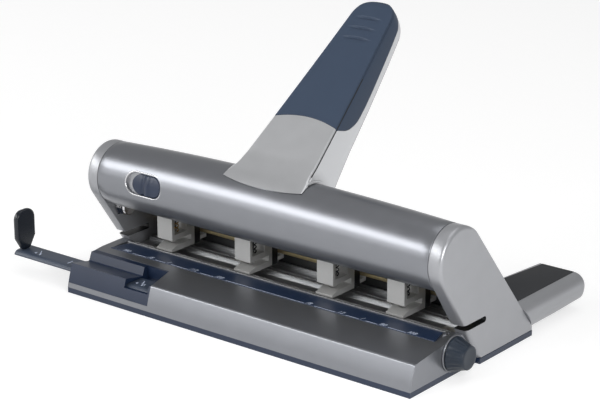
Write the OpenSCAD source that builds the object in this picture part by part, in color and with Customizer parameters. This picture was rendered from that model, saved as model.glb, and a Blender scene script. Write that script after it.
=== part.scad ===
// Multi-hole punch with four sliding punch units.
// X runs along the punch, Y to the back, Z up; the base rests on Z = 0.

/* [Base] */
// Half length of the throat between the cheeks
cheek_in = 157.5; // [110:0.1:210]
// Reach of the base front past the throat at each end
base_reach = 7.4; // [3:0.1:15]
// Front edge of the base ahead of the bar axis
base_front = 54; // [40:0.1:80]
// Rear edge of the base behind the bar axis
base_back = 96.8; // [70:0.1:140]
// Height of the tray rim
tray_h = 4.3; // [3:0.1:8]
// Wall of the tray rim
tray_wall = 2.4; // [1:0.1:4]
// Floor of the tray
tray_floor = 1.6; // [1:0.1:3]
// Thickness of the painted sheet covers
sheet = 2; // [1:0.1:4]
// Height of the deck at its front edge
deck_low = 23.2; // [15:0.1:35]
// Height of the deck at the scale strip
deck_high = 27.3; // [18:0.1:40]
// Setback of the deck front edge from the base front
deck_set = 5.2; // [2:0.1:12]
// Distance of the deck back edge behind the bar axis
deck_back = 4.5; // [0:0.1:10]

/* [Cheeks] */
// Thickness of a cheek
cheek_t = 11.3; // [6:0.1:20]
// Width of the rounded rim
cheek_rim = 3; // [0.5:0.1:5]
// Distance of the cheek foot behind the bar axis
cheek_toe = 27; // [15:0.1:45]
// Height of the lower end of the sloping back
back_toe = 7.4; // [5:0.1:20]
// Height of the paper slot
slot_h = 4.6; // [2:0.1:8]
// Depth of the paper slot behind the bar axis
slot_deep = 33.5; // [20:0.1:50]

/* [Bar] */
// Height of the bar axis at the cheeks
axis_z = 86.9; // [60:0.1:120]
// Radius of the bar at the cheeks
bar_r = 25; // [18:0.1:35]
// Extra radius of the bar at mid length
bar_bulge = 2; // [0:0.1:5]
// Wall of the bar
bar_wall = 2.2; // [1.5:0.1:4]
// Drop of the bar front lip below the axis
lip_drop = 21.9; // [12:0.1:30]
// Rear split of the bar behind its axis
split_y = 44; // [30:0.1:60]

/* [Die rail] */
// Gap from the rail ends to the cheeks
rail_gap = 3.1; // [1:0.1:8]
// Underside of the rail
rail_low = 18.8; // [12:0.1:26]
// Height of the rail floor
rail_floor = 23.5; // [14:0.1:32]
// Height of the bright front edge
rail_edge = 28.6; // [20:0.1:36]
// Width of the bright front edge
rail_edge_w = 1.8; // [0.8:0.1:4]
// Depth of the rail
rail_deep = 50; // [30:0.1:60]
// Height of the rail ribs
rib_h = 2.4; // [1:0.1:4]
// Width of the rail ribs
rib_w = 1.4; // [0.8:0.1:3]

/* [Punch units] */
// Width of one unit
unit_w = 15.5; // [10:0.1:24]
// Distance of the outer left unit from the middle
unit_far = 120; // [90:0.1:150]
// Distance of the inner units from the middle
unit_near = 40; // [25:0.1:60]
// Distance of the outer right unit from the middle
unit_aside = 105; // [85:0.1:150]
// Front of the upper part
unit_front = 11; // [6:0.1:20]
// Front tip of the lower jaw
jaw_tip = 9.8; // [5:0.1:16]
// Gap from the rail ribs to the lower jaw
jaw_gap = 0.7; // [0.3:0.1:3]
// Thickness of the lower jaw
jaw_t = 4.6; // [2:0.1:8]
// Rise of the ramp on the jaw
jaw_ramp = 2.8; // [1:0.1:5]
// Thickness of the upper arm
arm_t = 4.4; // [2:0.1:8]
// Wall of the unit front
wall_t = 3; // [1.5:0.1:5]
// Front of the unit back wall
back_wall = 28.5; // [22:0.1:40]
// Rear of the unit back wall
unit_back = 37.5; // [30:0.1:50]
// Height of the unit walls above the bar front lip
unit_tuck = 1; // [0:0.1:4]
// Position of the punch pins behind the bar axis
pin_y = 21; // [14:0.1:30]
// Diameter of a punch pin
pin_d = 5.5; // [4:0.1:8]
// Height of the pin tip above the paper slot at rest
pin_set = 0.6; // [0.2:0.1:3]
// Thickness of the pin flange
flange_t = 1.6; // [1:0.1:3]
// Diameter of the pin flange
flange_d = 10.4; // [7:0.1:16]
// Coil diameter of a pin spring
coil_d = 8.2; // [6.6:0.1:12]
// Wire diameter of a pin spring
coil_wire = 1.1; // [0.6:0.1:1.6]
// Depth of the carriage block
carriage_t = 7; // [4:0.1:12]
// Height of the carriage block above the upper arm
carriage_rise = 1.8; // [0:0.1:8]
// Depth of the hook behind the carriage
hook_t = 6.5; // [3:0.1:10]
// Height of the carriage hook above the jaw underside
hook_rise = 1.8; // [0:0.1:4]
// Thickness of the carriage hook
hook_h = 3.2; // [2:0.1:5]

/* [Guide bar and press bar] */
// Drop of the yellow guide bar below the upper arm
gbar_drop = 1; // [0:0.1:4]
// Height of the yellow guide bar
gbar_h = 2.8; // [2:0.1:6]
// Width of the yellow guide bar
gbar_w = 4; // [2:0.1:8]
// Underside of the press bar at rest
press_low = 58; // [50:0.1:70]
// Height of the press bar
press_h = 5; // [3:0.1:10]
// Width of the press bar
press_w = 10; // [6:0.1:14]
// Gap from the press bar ends to the cheeks
press_gap = 4.5; // [1:0.1:9]
// Distance of the press posts from the middle
post_x = 24; // [15:0.1:40]
// Width of a press post
post_w = 8; // [4:0.1:14]
// Travel of the press bar and the pins
press_travel = 10; // [6:0.1:14]
// Distance of the press rods from the cheeks
stem_set = 10; // [6:0.1:20]
// Diameter of the press rods
stem_d = 5; // [3:0.1:7]
// Height of the press rods' heads above the press bar at rest
stem_rise = 25; // [18:0.1:30]

/* [Lever] */
// Angle of the lever face
lever_angle = 37.32; // [25:0.01:60]
// Forward place of the lever face at the bar
lever_y = -10.57; // [-20:0.01:0]
// Height of the lever face above the bar axis
lever_up = 24.62; // [10:0.01:50]
// Bow of the lever face over its length
lever_bow = 3.71; // [0:0.01:10]
// Length of the lever
lever_len = 181.7; // [120:0.1:240]
// Half width of the lever at the bar
lever_wide = 34.4; // [25:0.1:50]
// Half width of the lever near its tip
lever_slim = 18.6; // [12:0.1:30]
// Depth of the lever at the bar
lever_deep = 32.6; // [20:0.1:45]
// Wall of the lever shell
lever_wall = 2.4; // [1.5:0.1:4]
// Travel angle of the lever
lever_swing = 26; // [15:0.5:35]
// Start of the soft grip along the lever
grip_start = 65; // [40:0.1:100]
// Radius of the lower edge of the soft grip
grip_arc = 86.6; // [60:0.1:140]
// Thickness of the soft grip
grip_t = 1.8; // [1:0.1:4]
// Diameter of the lever shaft
shaft_d = 10; // [7:0.1:14]
// Seat of the lever shaft in each cheek
shaft_seat = 5.5; // [2:0.1:9]
// Inset of the crank rollers from the bar radius
crank_inset = 2.4; // [1:0.1:6]
// Radius of the crank rollers
roller_r = 3; // [2:0.1:5]
// Distance of the lever arms from the middle
arm_x = 13; // [8:0.1:20]
// Thickness of the lever arms and cranks
crank_t = 4; // [2:0.1:8]

/* [Lock slider] */
// Distance of the lock window from the left cheek
lock_set = 49.5; // [25:0.1:120]
// Length of the lock window rim
lock_len = 38; // [24:0.1:60]
// Height of the lock window rim
lock_h = 20; // [14:0.1:30]
// Width of the rim
lock_rim = 2.2; // [1:0.1:4]
// Travel of the lock slider
lock_travel = 6; // [3:0.1:12]
// Tilt of the lock window
lock_tilt = 10; // [0:1:30]

/* [Side guide] */
// Length of the guide housing
guide_len = 83.6; // [50:0.1:120]
// Depth of the guide housing
guide_deep = 32.5; // [25:0.1:42]
// Height of the guide flat
guide_flat = 19.4; // [12:0.1:26]
// Depth of the raised rear part of the guide housing
guide_raised = 8; // [8:0.1:20]
// Height of the silver band under the guide housing
band_h = 3.9; // [2:0.1:8]
// Setback of the guide rail from the base front
grail_set = 6.5; // [4:0.1:12]
// Width of the guide rail
grail_w = 17.5; // [6:0.1:20]
// Height of the guide rail above the silver band
grail_rise = 6.3; // [2:0.1:8]
// Height of the guide rail
grail_h = 3.9; // [2:0.1:10]
// Reach of the guide rail past the base
grail_out = 66; // [30:0.1:120]
// Distance of the guide rail end inside the housing
grail_end = 4; // [3:0.1:30]
// Length of the sight window
window_len = 24; // [10:0.1:40]
// Slant of the sight window
window_lean = 0.5; // [0:0.1:15]
// Outward travel of the guide rail
grail_travel = 40; // [10:1:120]
// Distance of the side stop from the rail end
stop_set = 1.5; // [0:0.1:20]
// Thickness of the side stop
stop_t = 5; // [2:0.1:10]
// Width of the side stop
stop_w = 20.5; // [10:0.1:40]
// Height of the side stop above the rail
stop_h = 33.4; // [20:0.1:60]

/* [Knob] */
// Place of the knob ahead of the bar axis
knob_y = -3; // [-20:0.1:20]
// Height of the knob axis
knob_z = 17.5; // [10:0.1:26]
// Large radius of the knob
knob_r = 13; // [8:0.1:18]
// Small radius of the knob
knob_tip_r = 8.6; // [5:0.1:14]
// Length of the knob
knob_len = 13; // [8:0.1:22]
// Diameter of the knob spindle
spindle_d = 5; // [3:0.1:8]
// Travel of the margin stop nut each way
nut_travel = 6; // [2:0.1:15]

/* [Rear feet] */
// Distance of the inner side of the rear feet from the end of the base
foot_set = 48.8; // [30:0.1:70]
// Width of the flat top of the rear feet
foot_w = 41.5; // [20:0.1:60]
// Reach of the feet behind the base
foot_len = 71.7; // [50:0.1:140]
// Rounding of the outer side of the feet
foot_round = 9.3; // [4:0.1:14]
// Slant of the inner side of the feet
foot_slant = 9.7; // [0:0.1:20]
// Top height of the feet
foot_top = 28; // [18:0.1:40]
// Thickness of the foot pads
pad_t = 3; // [1.5:0.1:5]

/* [Fits] */
// Clearance between touching pieces of one body
fit = 0.05; // [0.02:0.01:0.2]
// Clearance between moving pieces
run = 0.35; // [0.2:0.05:0.8]
// Radial clearance of running shafts
bore_run = 0.08; // [0.02:0.01:0.1]
// Diameter of the screw heads
screw_d = 7; // [4:0.1:10]
// Solid end of the inner frame beside the screws
frame_end = 10; // [6:0.1:16]

/* [Hidden] */
over = 1;
$fn = 48;
spring_sides = 6;
spring_rings = 8;
base_half = cheek_in + base_reach;
cheek_half = cheek_in + cheek_t;
rail_half = cheek_in - rail_gap;
press_half = cheek_in - press_gap;
stem_x = cheek_in - stem_set;
shaft_half = cheek_in + shaft_seat;
pivot_z = axis_z + bar_bulge;
lip_z = axis_z - lip_drop;
slope_y = base_back + 6 * fit;
gbar_y = unit_back + carriage_t + run;
jaw_low = rail_floor + rib_h + jaw_gap;
slot_low = jaw_low + jaw_t;
arm_low = slot_low + slot_h;
arm_top = arm_low + arm_t;
unit_top = lip_z + unit_tuck;
pin_tip = arm_low + pin_set;
pin_top = press_low - run;
carriage_top = arm_top + carriage_rise;
hook_low = jaw_low + hook_rise;
gbar_low = arm_low - gbar_drop;
stem_top = press_low + press_h + stem_rise;
lug_low = press_low + press_h + 2 * run;
lug_h = press_h * 0.7;
lever_z = axis_z + lever_up;
lock_x = lock_set - cheek_in;
band_top = tray_h + band_h;
guide_right = guide_len - base_half;
guide_rear = guide_deep - base_front;
guide_step = guide_rear - guide_raised;
grail_front = grail_set - base_front;
grail_rear = grail_front + grail_w;
grail_low = band_top + grail_rise;
grail_left = -base_half - grail_out;
grail_right = guide_right - grail_end;
stop_left = grail_left + stop_set;
stop_top = grail_low + grail_h + stop_h;
foot_in = cheek_half - foot_set;
foot_back = base_back + foot_len;
foot_flat = foot_in + foot_w;
foot_out = foot_flat + foot_round;
strip_half = rail_half + sheet;
strip_w = deck_set * 3.2;
strip_t = sheet / 2;
crank_len = bar_r - crank_inset;
crank_angle = 2;
arm_angle = 50;
slot_back = 6;
slot_middle = 37;
slot_fore = 70;
arm_end_share = 0.85;
taper_share = [0.033, 0.89];
flare_share = [[-0.1, 1], [-0.0055, 0.9], [0.0138, 0.5]];
tip_share = [[0.935, 0.047], [0.82, 0.0242], [0.6, 0.0088], [0.3, 0.0017]];
lip_share = [[-0.0077, 0.098], [0.011, 0.084], [0.044, 0.046], [0.099, 0.015]];
face_share = [0.33, 0.55, 0.77, 0.94];
under_share = [[0.958, 0.466], [0.91, 0.595], [0.77, 0.705], [0.55, 0.834], [0.33, 0.93]];
skirt_share = [[0.187, 1], [0.165, 1.031]];
grip_side_share = [[-0.0514, -0.7], [-0.0428, 0], [0, 0.387], [0.077, 0.567], [0.163, 0.604],
    [0.2485, 0.6], [0.574, 0.479], [0.754, 0.399], [0.874, 0.322], [0.951, 0.187]];
groove_share = [0.9, 0.845, 0.79];
bolt_share = [0.187, 0.275];
skirt_r = bar_r + bar_bulge + run;
lock_z = axis_z + bulge(lock_x);
slope_norm = atan2(back_toe - axis_z, slope_y) + acos(bar_r / norm([slope_y, axis_z - back_toe]));
toe_norm = atan2(tray_h - axis_z, cheek_toe) - acos(bar_r / norm([cheek_toe, axis_z - tray_h]));
UNITS = [-unit_far, -unit_near, unit_near, unit_aside];

// Shared forms

// Point on a circle about the bar axis
function around(r, a) = [r * cos(a), axis_z + r * sin(a)];
// Height of the sloping back at a place behind the bar, moved inwards by a depth
function slope_at(y, in) = axis_z + (bar_r - in - y * cos(slope_norm)) / sin(slope_norm);
// Place of the cheek front edge at a height, moved inwards by a depth
function edge_at(z, in) = (bar_r - in - (z - axis_z) * sin(toe_norm)) / cos(toe_norm);
// Extra radius of the bar at a place along it
function bulge(x) = bar_bulge * (1 - pow(x / cheek_in, 2));

// Points of one side and their mirror image as one outline
function two_sided(p) = concat(p, [for (i = [len(p) - 1:-1:0]) [-p[i][0], p[i][1]]]);

// A section in the Y Z plane drawn out along X
module along_x(x0, x1) {
    translate([x0, 0, 0]) rotate([90, 0, 90]) linear_extrude(x1 - x0) children();
}
// A round bar along X
module rod_x(x0, x1, y, z, d) {
    translate([x0, y, z]) rotate([0, 90, 0]) cylinder(d = d, h = x1 - x0);
}
// A box between two corners
module block(a, b) {
    translate(a) cube(b - a);
}
// Section of a cheek, moved inwards by a rim
module cheek_section(rim) {
    translate([0, axis_z]) circle(r = bar_r - rim, $fn = 96);
    polygon([around(bar_r - rim, toe_norm), [edge_at(tray_h, rim), tray_h], [base_back, tray_h],
        [base_back, slope_at(base_back, 0)], around(bar_r - rim, slope_norm), [0, axis_z]]);
}
// The paper slot as a section
module slot_section() {
    translate([-over, slot_low]) square([slot_deep - slot_h / 2 + over, slot_h]);
    translate([slot_deep - slot_h / 2, slot_low + slot_h / 2]) circle(d = slot_h);
}
module cheek() {
    difference() {
        union() {
            hull() {
                along_x(cheek_in, cheek_half - cheek_rim) cheek_section(0);
                along_x(cheek_in, cheek_half) cheek_section(cheek_rim);
            }
            block([stem_x - stem_d, pin_y - stem_d, lug_low],
                [cheek_in + over, pin_y + stem_d, lug_low + lug_h]);
        }
        translate([stem_x, pin_y, lug_low - over]) cylinder(d = stem_d + 2 * bore_run, h = lug_h + 2 * over);
        along_x(cheek_in - over, cheek_half + over) slot_section();
        rod_x(cheek_in - over, cheek_half - cheek_rim, 0, pivot_z, shaft_d + 2 * bore_run);
        block([cheek_in - over, gbar_y - fit, gbar_low - fit],
            [cheek_in + wall_t, gbar_y + gbar_w + fit, gbar_low + gbar_h + fit]);
    }
}
// Two pieces mirrored about the middle
module both() {
    children();
    mirror([1, 0, 0]) children();
}

// Base

module base_plan() {
    polygon(two_sided([[base_half, -base_front], [base_half, edge_at(tray_h, 0)],
        [cheek_half, edge_at(tray_h, 0)], [cheek_half, base_back]]));
}
module pad_places() {
    for (x = [-1, 1], y = [-base_front + screw_d * 2, base_back - screw_d * 2])
        translate([x * (base_half - screw_d * 2), y, 0]) children();
}
module screw_places() {
    for (x = [-1, 0, 1], y = [deck_back + screw_d * 1.1, gbar_y + gbar_w])
        translate([x * stem_x, y, 0]) children();
}
module base_tray() {
    color("#26323f") difference() {
        linear_extrude(tray_h) base_plan();
        block([tray_wall - base_half, tray_wall - base_front, tray_floor],
            [base_half - tray_wall, base_back - tray_wall, tray_h + over]);
        pad_places() translate([0, 0, -over]) cylinder(d = screw_d * 2, h = over + tray_floor / 2);
        screw_places() translate([0, 0, -over]) cylinder(d = screw_d / 2 + 2 * fit, h = tray_h);
    }
}
module rest_pads() {
    color("#141414") pad_places() cylinder(d = screw_d * 2 - 2 * fit, h = tray_floor / 2 - fit);
}
module base_frame() {
    ear_w = cheek_in - rail_half + crank_t;
    color("#8c9094") difference() {
        union() {
            difference() {
                block([fit - cheek_in, deck_back + sheet, tray_h + fit],
                    [cheek_in - fit, gbar_y + gbar_w * 3, rail_low - fit]);
                block([frame_end - stem_x, deck_back + sheet * 3, 0],
                    [stem_x - frame_end, gbar_y, rail_low + over]);
            }
            both() block([foot_in, gbar_y, tray_h + fit],
                [cheek_in - fit, base_back - sheet * 4, rail_low * 0.6]);
            for (x = [cheek_in - fit - ear_w, foot_in - ear_w * 3]) {
                block([x, knob_y - knob_r / 2, tray_h + fit], [x + ear_w, deck_back + sheet * 2, rail_low - fit]);
                block([x, knob_y - knob_r / 2, tray_h + fit], [x + ear_w, deck_back, knob_z + spindle_d]);
            }
            for (x = [-1, 0, 1]) translate([x * stem_x, 0, 0])
                block([-screw_d, deck_back + sheet, tray_floor + fit],
                    [screw_d, gbar_y + gbar_w * 3, tray_h + over]);
        }
        rod_x(foot_in - foot_w, cheek_in, knob_y, knob_z, spindle_d + 2 * bore_run);
        screw_places() translate([0, 0, -over]) cylinder(d = screw_d / 2 + 2 * fit, h = rail_low * 0.7);
    }
}
module cover_screws() {
    color("#9a9da0") screw_places() translate([0, 0, tray_floor / 2])
        cylinder(d = screw_d / 2, h = rail_low * 0.6 - tray_floor / 2);
}
// Outer skin of the front cover, moved inwards by a depth
function face_at(t) = [deck_set * 1.1 * pow(t, 1.3) - base_front,
    tray_h + (deck_low + sheet / 5 - tray_h) * t];
function cover_outline(in) = concat([[in - base_front, tray_h - (in > 0 ? over * 2 : -fit)]],
    [for (t = [0.25, 0.5, 0.75, 1]) face_at(t) + [in, -in]],
    [[-base_front * 0.25, deck_high - in], [deck_back, deck_high + sheet / 5 - in]]);
module cover_corner(x0) {
    z = deck_high + sheet / 5;
    along_x(x0, base_half) polygon([[deck_back - sheet, z - sheet * 1.5], [deck_back - sheet, z],
        [edge_at(z, 0) - run, z], [edge_at(z - sheet * 1.5, 0) - run, z - sheet * 1.5]]);
    along_x(base_half - sheet, base_half) polygon(concat(cover_outline(0),
        [[edge_at(z, 0) - run, z], [edge_at(tray_h, 0) - run, tray_h + fit]]));
}
// Plan of the recess that takes the guide housing, grown by a clearance and drawn past the base
module guide_plan(grow, past) {
    polygon([[-base_half - past, -base_front - past], [guide_right + grow, -base_front - past],
        [guide_right + grow, deck_set * 1.4 - base_front],
        [guide_right - deck_set + grow, guide_rear + grow], [-base_half - past, guide_rear + grow]]);
}
module front_cover() {
    color("#a3a5a9") difference() {
        union() {
            along_x(-base_half, base_half) polygon(concat(cover_outline(0),
                [[deck_back, deck_high - sheet * 1.5], [deck_back - sheet, deck_high - sheet * 1.5]],
                [for (i = [5:-1:0]) cover_outline(sheet)[i] + (i == 0 ? [0, over * 2 + fit] : [0, 0])]));
            both() cover_corner(rail_half + run);
        }
        translate([0, 0, band_top]) linear_extrude(deck_high) guide_plan(fit, over * 2);
        block([-strip_half, deck_back - over - strip_w, deck_high - strip_t],
            [strip_half, deck_back + over, deck_high * 2]);
        rod_x(base_half - over * 4, base_half + over, knob_y, knob_z, spindle_d + sheet);
    }
}
module scale_strip() {
    y0 = deck_back - over - strip_w + fit;
    y1 = deck_back - fit;
    color("#26323f") translate([0, 0, deck_high - strip_t + fit]) linear_extrude(strip_t + sheet / 4)
        polygon([[fit - strip_half, y0], [strip_half - fit, y0], [strip_half - deck_set, y1],
            [deck_set - strip_half, y1]]);
}
module die_rail() {
    color("#a9abae") difference() {
        union() {
            block([-rail_half, deck_back + fit, rail_low], [rail_half, rail_deep, rail_floor]);
            block([-rail_half, deck_back + fit, rail_low],
                [rail_half, deck_back + fit + rail_edge_w, rail_edge]);
            for (y = [jaw_tip - rib_w * 2, jaw_tip + rib_w * 2, back_wall + rib_w, unit_back - rib_w * 2,
                rail_deep - rib_w])
                block([-rail_half, y, rail_floor - over], [rail_half, y + rib_w, rail_floor + rib_h]);
        }
        block([frame_end * 0.75 - stem_x, pin_y - pin_d, rail_low - over],
            [stem_x - frame_end * 0.75, pin_y + pin_d, rail_edge]);
    }
}
module left_cheek() {
    color("#a3a5a9") mirror([1, 0, 0]) cheek();
}
module right_cheek() {
    color("#a3a5a9") cheek();
}
module guide_bar() {
    color("#c9a94a") block([fit - cheek_in - wall_t, gbar_y, gbar_low],
        [cheek_in + wall_t - fit, gbar_y + gbar_w, gbar_low + gbar_h]);
}
module press_rods() {
    color("#b9bcc0") both() translate([stem_x, pin_y, 0]) {
        translate([0, 0, press_low + fit]) cylinder(d = stem_d, h = stem_top - press_low - fit);
        translate([0, 0, stem_top - flange_t]) cylinder(d = stem_d * 1.9, h = flange_t);
    }
}
module inner_panel() {
    y = gbar_y + gbar_w * 2.2;
    color("#3a3c3f") along_x(fit - cheek_in, cheek_in - fit)
        polygon([[y, rail_low], [y + sheet, rail_low], [y + sheet, gbar_low],
            [y + sheet * 3, gbar_low + jaw_t * 3], [y + sheet * 2, gbar_low + jaw_t * 3], [y, gbar_low]]);
}

// Bar

module bar_station(x) {
    r = bar_r + bulge(x);
    rod_x(x - over / 2, x + over / 2, 0, axis_z + bulge(x), 2 * r, $fn = 72);
    along_x(x - over / 2, x + over / 2) polygon([[split_y, slope_at(split_y, 0)],
        [split_y, slope_at(split_y, bar_wall)], [split_y - over, slope_at(split_y, 0)]]);
}
module bar_outer() {
    step = (cheek_in - fit - over / 2) / 4;
    hull() for (i = [-4:4]) bar_station(i * step);
}
module lever_slots() {
    for (x = [-arm_x, arm_x]) along_x(x - crank_t / 2 - run * 2, x + crank_t / 2 + run * 2)
        translate([0, pivot_z]) polygon([[0, 0], bar_r * 2 * [cos(slot_back), sin(slot_back)],
            bar_r * 3 * [cos(slot_middle), sin(slot_middle)], bar_r * 2 * [cos(slot_fore), sin(slot_fore)]]);
}
module top_housing() {
    r = bar_r - bar_wall;
    lip_y = -sqrt(pow(r, 2) - pow(axis_z - lip_z, 2));
    color("#a3a5a9") difference() {
        bar_outer();
        along_x(-cheek_in - over, cheek_in + over) {
            translate([0, axis_z]) circle(r = r, $fn = 72);
            polygon([[0, axis_z], around(r - run, slope_norm),
                [split_y + over, slope_at(split_y + over, bar_wall + run)],
                [split_y + over, lip_z - over], [lip_y, lip_z - over]]);
        }
        block([-cheek_in - over, -bar_r * 2, 0], [cheek_in + over, split_y + over, lip_z]);
        lever_slots();
        lock_local() linear_extrude(bar_r * 2) pill(lock_len + 2 * fit, lock_h + 2 * fit);
    }
}
module back_cover() {
    y0 = split_y + fit;
    y1 = base_back;
    color("#a3a5a9") along_x(fit - cheek_in, cheek_in - fit)
        polygon([[y0, slope_at(y0, 0)], [y1, slope_at(y1, 0)], [y1, tray_h + fit], [y1 - sheet, tray_h + fit],
            [y1 - sheet, slope_at(y1 - sheet, sheet)], [y0, slope_at(y0, sheet)]]);
}
module pill(len, high) {
    square([len - high, high], center = true);
    for (x = [-1, 1]) translate([x * (len - high) / 2, 0]) circle(d = high);
}
module lock_local() {
    translate([lock_x, 0, lock_z]) rotate([90 - lock_tilt, 0, 0]) children();
}
module lock_shell(r0, r1) {
    difference() {
        rod_x(lock_x - lock_len, lock_x + lock_len, 0, lock_z, 2 * r1, $fn = 96);
        rod_x(lock_x - lock_len - over, lock_x + lock_len + over, 0, lock_z, 2 * r0, $fn = 96);
    }
}
module lock_bezel() {
    r = bar_r + bulge(lock_x);
    color("#b5b7ba") intersection() {
        lock_shell(r - bar_wall - bulge(lock_x), r + rib_w / 2);
        lock_local() linear_extrude(bar_r * 2) difference() {
            pill(lock_len, lock_h);
            pill(lock_len - 2 * lock_rim, lock_h - 2 * lock_rim);
        }
    }
}
module lock_slider() {
    r = bar_r + bulge(lock_x);
    len = lock_len - 2 * lock_rim - 2 * run - lock_travel;
    color("#26364a") intersection() {
        lock_shell(r - bar_wall * 2, r + rib_w);
        lock_local() translate([lock_travel / 2, 0, 0]) linear_extrude(bar_r * 2)
            pill(len, lock_h - 2 * lock_rim - 2 * run);
        union() {
            lock_shell(r - bar_wall * 3, r - rib_w / 3);
            lock_local() translate([lock_travel, 0, 0]) linear_extrude(bar_r * 2)
                square([rib_w * 2, lock_h], center = true);
        }
    }
}

// Lever and press bar

module lever_local() {
    translate([0, lever_y, lever_z]) rotate([lever_angle, 0, 0]) children();
}
// Half width of the lever at a place along it, moved inwards by a depth
function lever_half(s, in) = lever_wide - in
    + (lever_slim - lever_wide) * (s / lever_len - taper_share[0]) / taper_share[1];
// Rise of the lever face at a place along it
function lever_rise(s) = lever_bow * pow(s / lever_len, 2);
module lever_plan(in) {
    flare = in > 0 ? 0 : crank_t;
    w0 = lever_half(lever_len * taper_share[0], in);
    polygon(two_sided(concat([for (p = flare_share) [w0 + flare * p[1], lever_len * p[0]]],
        [[w0, lever_len * taper_share[0]], [lever_half(lever_len * 0.91, in), lever_len * 0.91]],
        [for (p = tip_share) [(lever_slim - in) * p[0], lever_len * (1 - p[1]) - in]])));
}
module lever_profile(in, front) {
    k = lever_len;
    d = lever_deep;
    polygon(concat([for (p = lip_share) [k * p[0], d * p[1] - front]],
        [for (p = face_share) [k * p, lever_rise(k * p) - front]],
        [[k * 0.98 - in, d * 0.08 - front], [k - in, -d * 0.015 - front], [k * 0.997 - in, in - d * 0.184]],
        [for (p = under_share) [k * p[0] - (p[0] > 0.95 ? in : 0), in - d * p[1]]],
        [for (p = skirt_share) [k * p[0], in - d * p[1]]], [[-k * 0.0077, -d * 0.184 - front]]));
}
module lever_form(in, front) {
    intersection() {
        lever_local() along_x(-lever_wide * 2, lever_wide * 2) lever_profile(in, front);
        lever_local() translate([0, 0, -lever_len]) linear_extrude(lever_len * 2)
            lever_plan(in);
    }
}
module grip_zone(grow) {
    k = lever_len - grip_start;
    lever_local() difference() {
        along_x(-lever_wide * 2, lever_wide * 2) polygon(concat(
            [for (p = grip_side_share) [grip_start + k * p[0] - (p[0] > 0 ? 0 : grow),
                -lever_deep * p[1] - (p[1] > 0 ? grow : 0)]],
            [[lever_len + over, -grow], [lever_len + over, lever_deep * 0.7]]));
        translate([0, grip_start - grip_arc, -lever_len])
            cylinder(r = grip_arc - grow, h = lever_len * 2, $fn = 120);
    }
}
module lever_cut() {
    rod_x(-lever_wide * 2, lever_wide * 2, 0, pivot_z, 2 * skirt_r, $fn = 120);
    translate([0, 0, pivot_z]) rotate([slope_norm + lever_swing - 90, 0, 0])
        block([-lever_wide * 2, 0, -lever_len], [lever_wide * 2, lever_len, skirt_r]);
}
module lever_core() {
    intersection() {
        lever_form(lever_wall, lever_wall + grip_t);
        lever_local() block([-lever_wide, -lever_len, -lever_len],
            [lever_wide, lever_len * arm_end_share, lever_len]);
    }
}
module lever_bolt_places(wide, long) {
    for (p = bolt_share) let (s = lever_len * p, w = lever_half(s, lever_wall * 0.75) + long)
        lever_local() rod_x(-w, w, s, -lever_deep * 0.43, screw_d * 0.7 + wide);
}
module lever_shell() {
    color("#a3a5a9") difference() {
        union() {
            difference() {
                lever_form(0, 0);
                grip_zone(0);
            }
            lever_form(grip_t, grip_t);
        }
        lever_core();
        lever_cut();
        lever_bolt_places(2 * fit, run);
    }
}
module lever_grip() {
    k = lever_len;
    color("#41525f") difference() {
        intersection() {
            lever_form(0, 0);
            grip_zone(-fit);
        }
        lever_form(grip_t - fit, grip_t - fit);
        for (p = groove_share) lever_local()
            rod_x(-lever_slim * 0.62, lever_slim * 0.62, k * p, lever_rise(k * p) + grip_t / 4, grip_t * 1.2);
    }
}
module lever_shaft() {
    color("#b9bcc0") rod_x(-shaft_half, shaft_half, 0, pivot_z, shaft_d);
}
module lever_arms() {
    color("#8c9094") for (x = [-arm_x, arm_x]) difference() {
        along_x(x - crank_t / 2, x + crank_t / 2) translate([0, pivot_z]) {
            circle(d = shaft_d * 1.8);
            rotate(arm_angle) translate([0, -shaft_d * 0.6]) square([shaft_d * 6.2, shaft_d * 1.2]);
        }
        rod_x(x - crank_t, x + crank_t, 0, pivot_z, shaft_d + 2 * fit);
        lever_bolt_places(2 * fit, run);
    }
}
module lever_bolts() {
    color("#9a9da0") lever_bolt_places(0, 0);
}
module cranks() {
    color("#8c9094") both() difference() {
        along_x(post_x - post_w / 2 - crank_t, post_x - post_w / 2) translate([0, pivot_z]) {
            circle(d = shaft_d * 1.6);
            rotate(crank_angle) translate([0, -shaft_d * 0.3]) square([crank_len, shaft_d * 0.6]);
            rotate(crank_angle) translate([crank_len, 0]) circle(r = roller_r);
        }
        rod_x(0, post_x * 2, 0, pivot_z, shaft_d + 2 * fit);
    }
}
module crank_rollers() {
    color("#c9a94a") both() rod_x(post_x - post_w / 2 + fit, post_x + post_w / 2, crank_len * cos(crank_angle),
        pivot_z + crank_len * sin(crank_angle), 2 * roller_r);
}
module press_posts() {
    top = pivot_z + crank_len * sin(crank_angle) - roller_r - run;
    color("#8c9094") both()
        block([post_x - post_w / 2 + run, pin_y - press_w * 0.35, press_low + press_h + fit],
            [post_x + post_w / 2, pin_y + press_w * 0.42, top]);
}
module press_bar() {
    color("#c9a94a") difference() {
        block([-press_half, pin_y - press_w / 2, press_low],
            [press_half, pin_y + press_w / 2, press_low + press_h]);
        both() translate([stem_x, pin_y, press_low - over])
            cylinder(d = stem_d + 2 * fit, h = press_h + 2 * over);
    }
}

// Punch units

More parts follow.
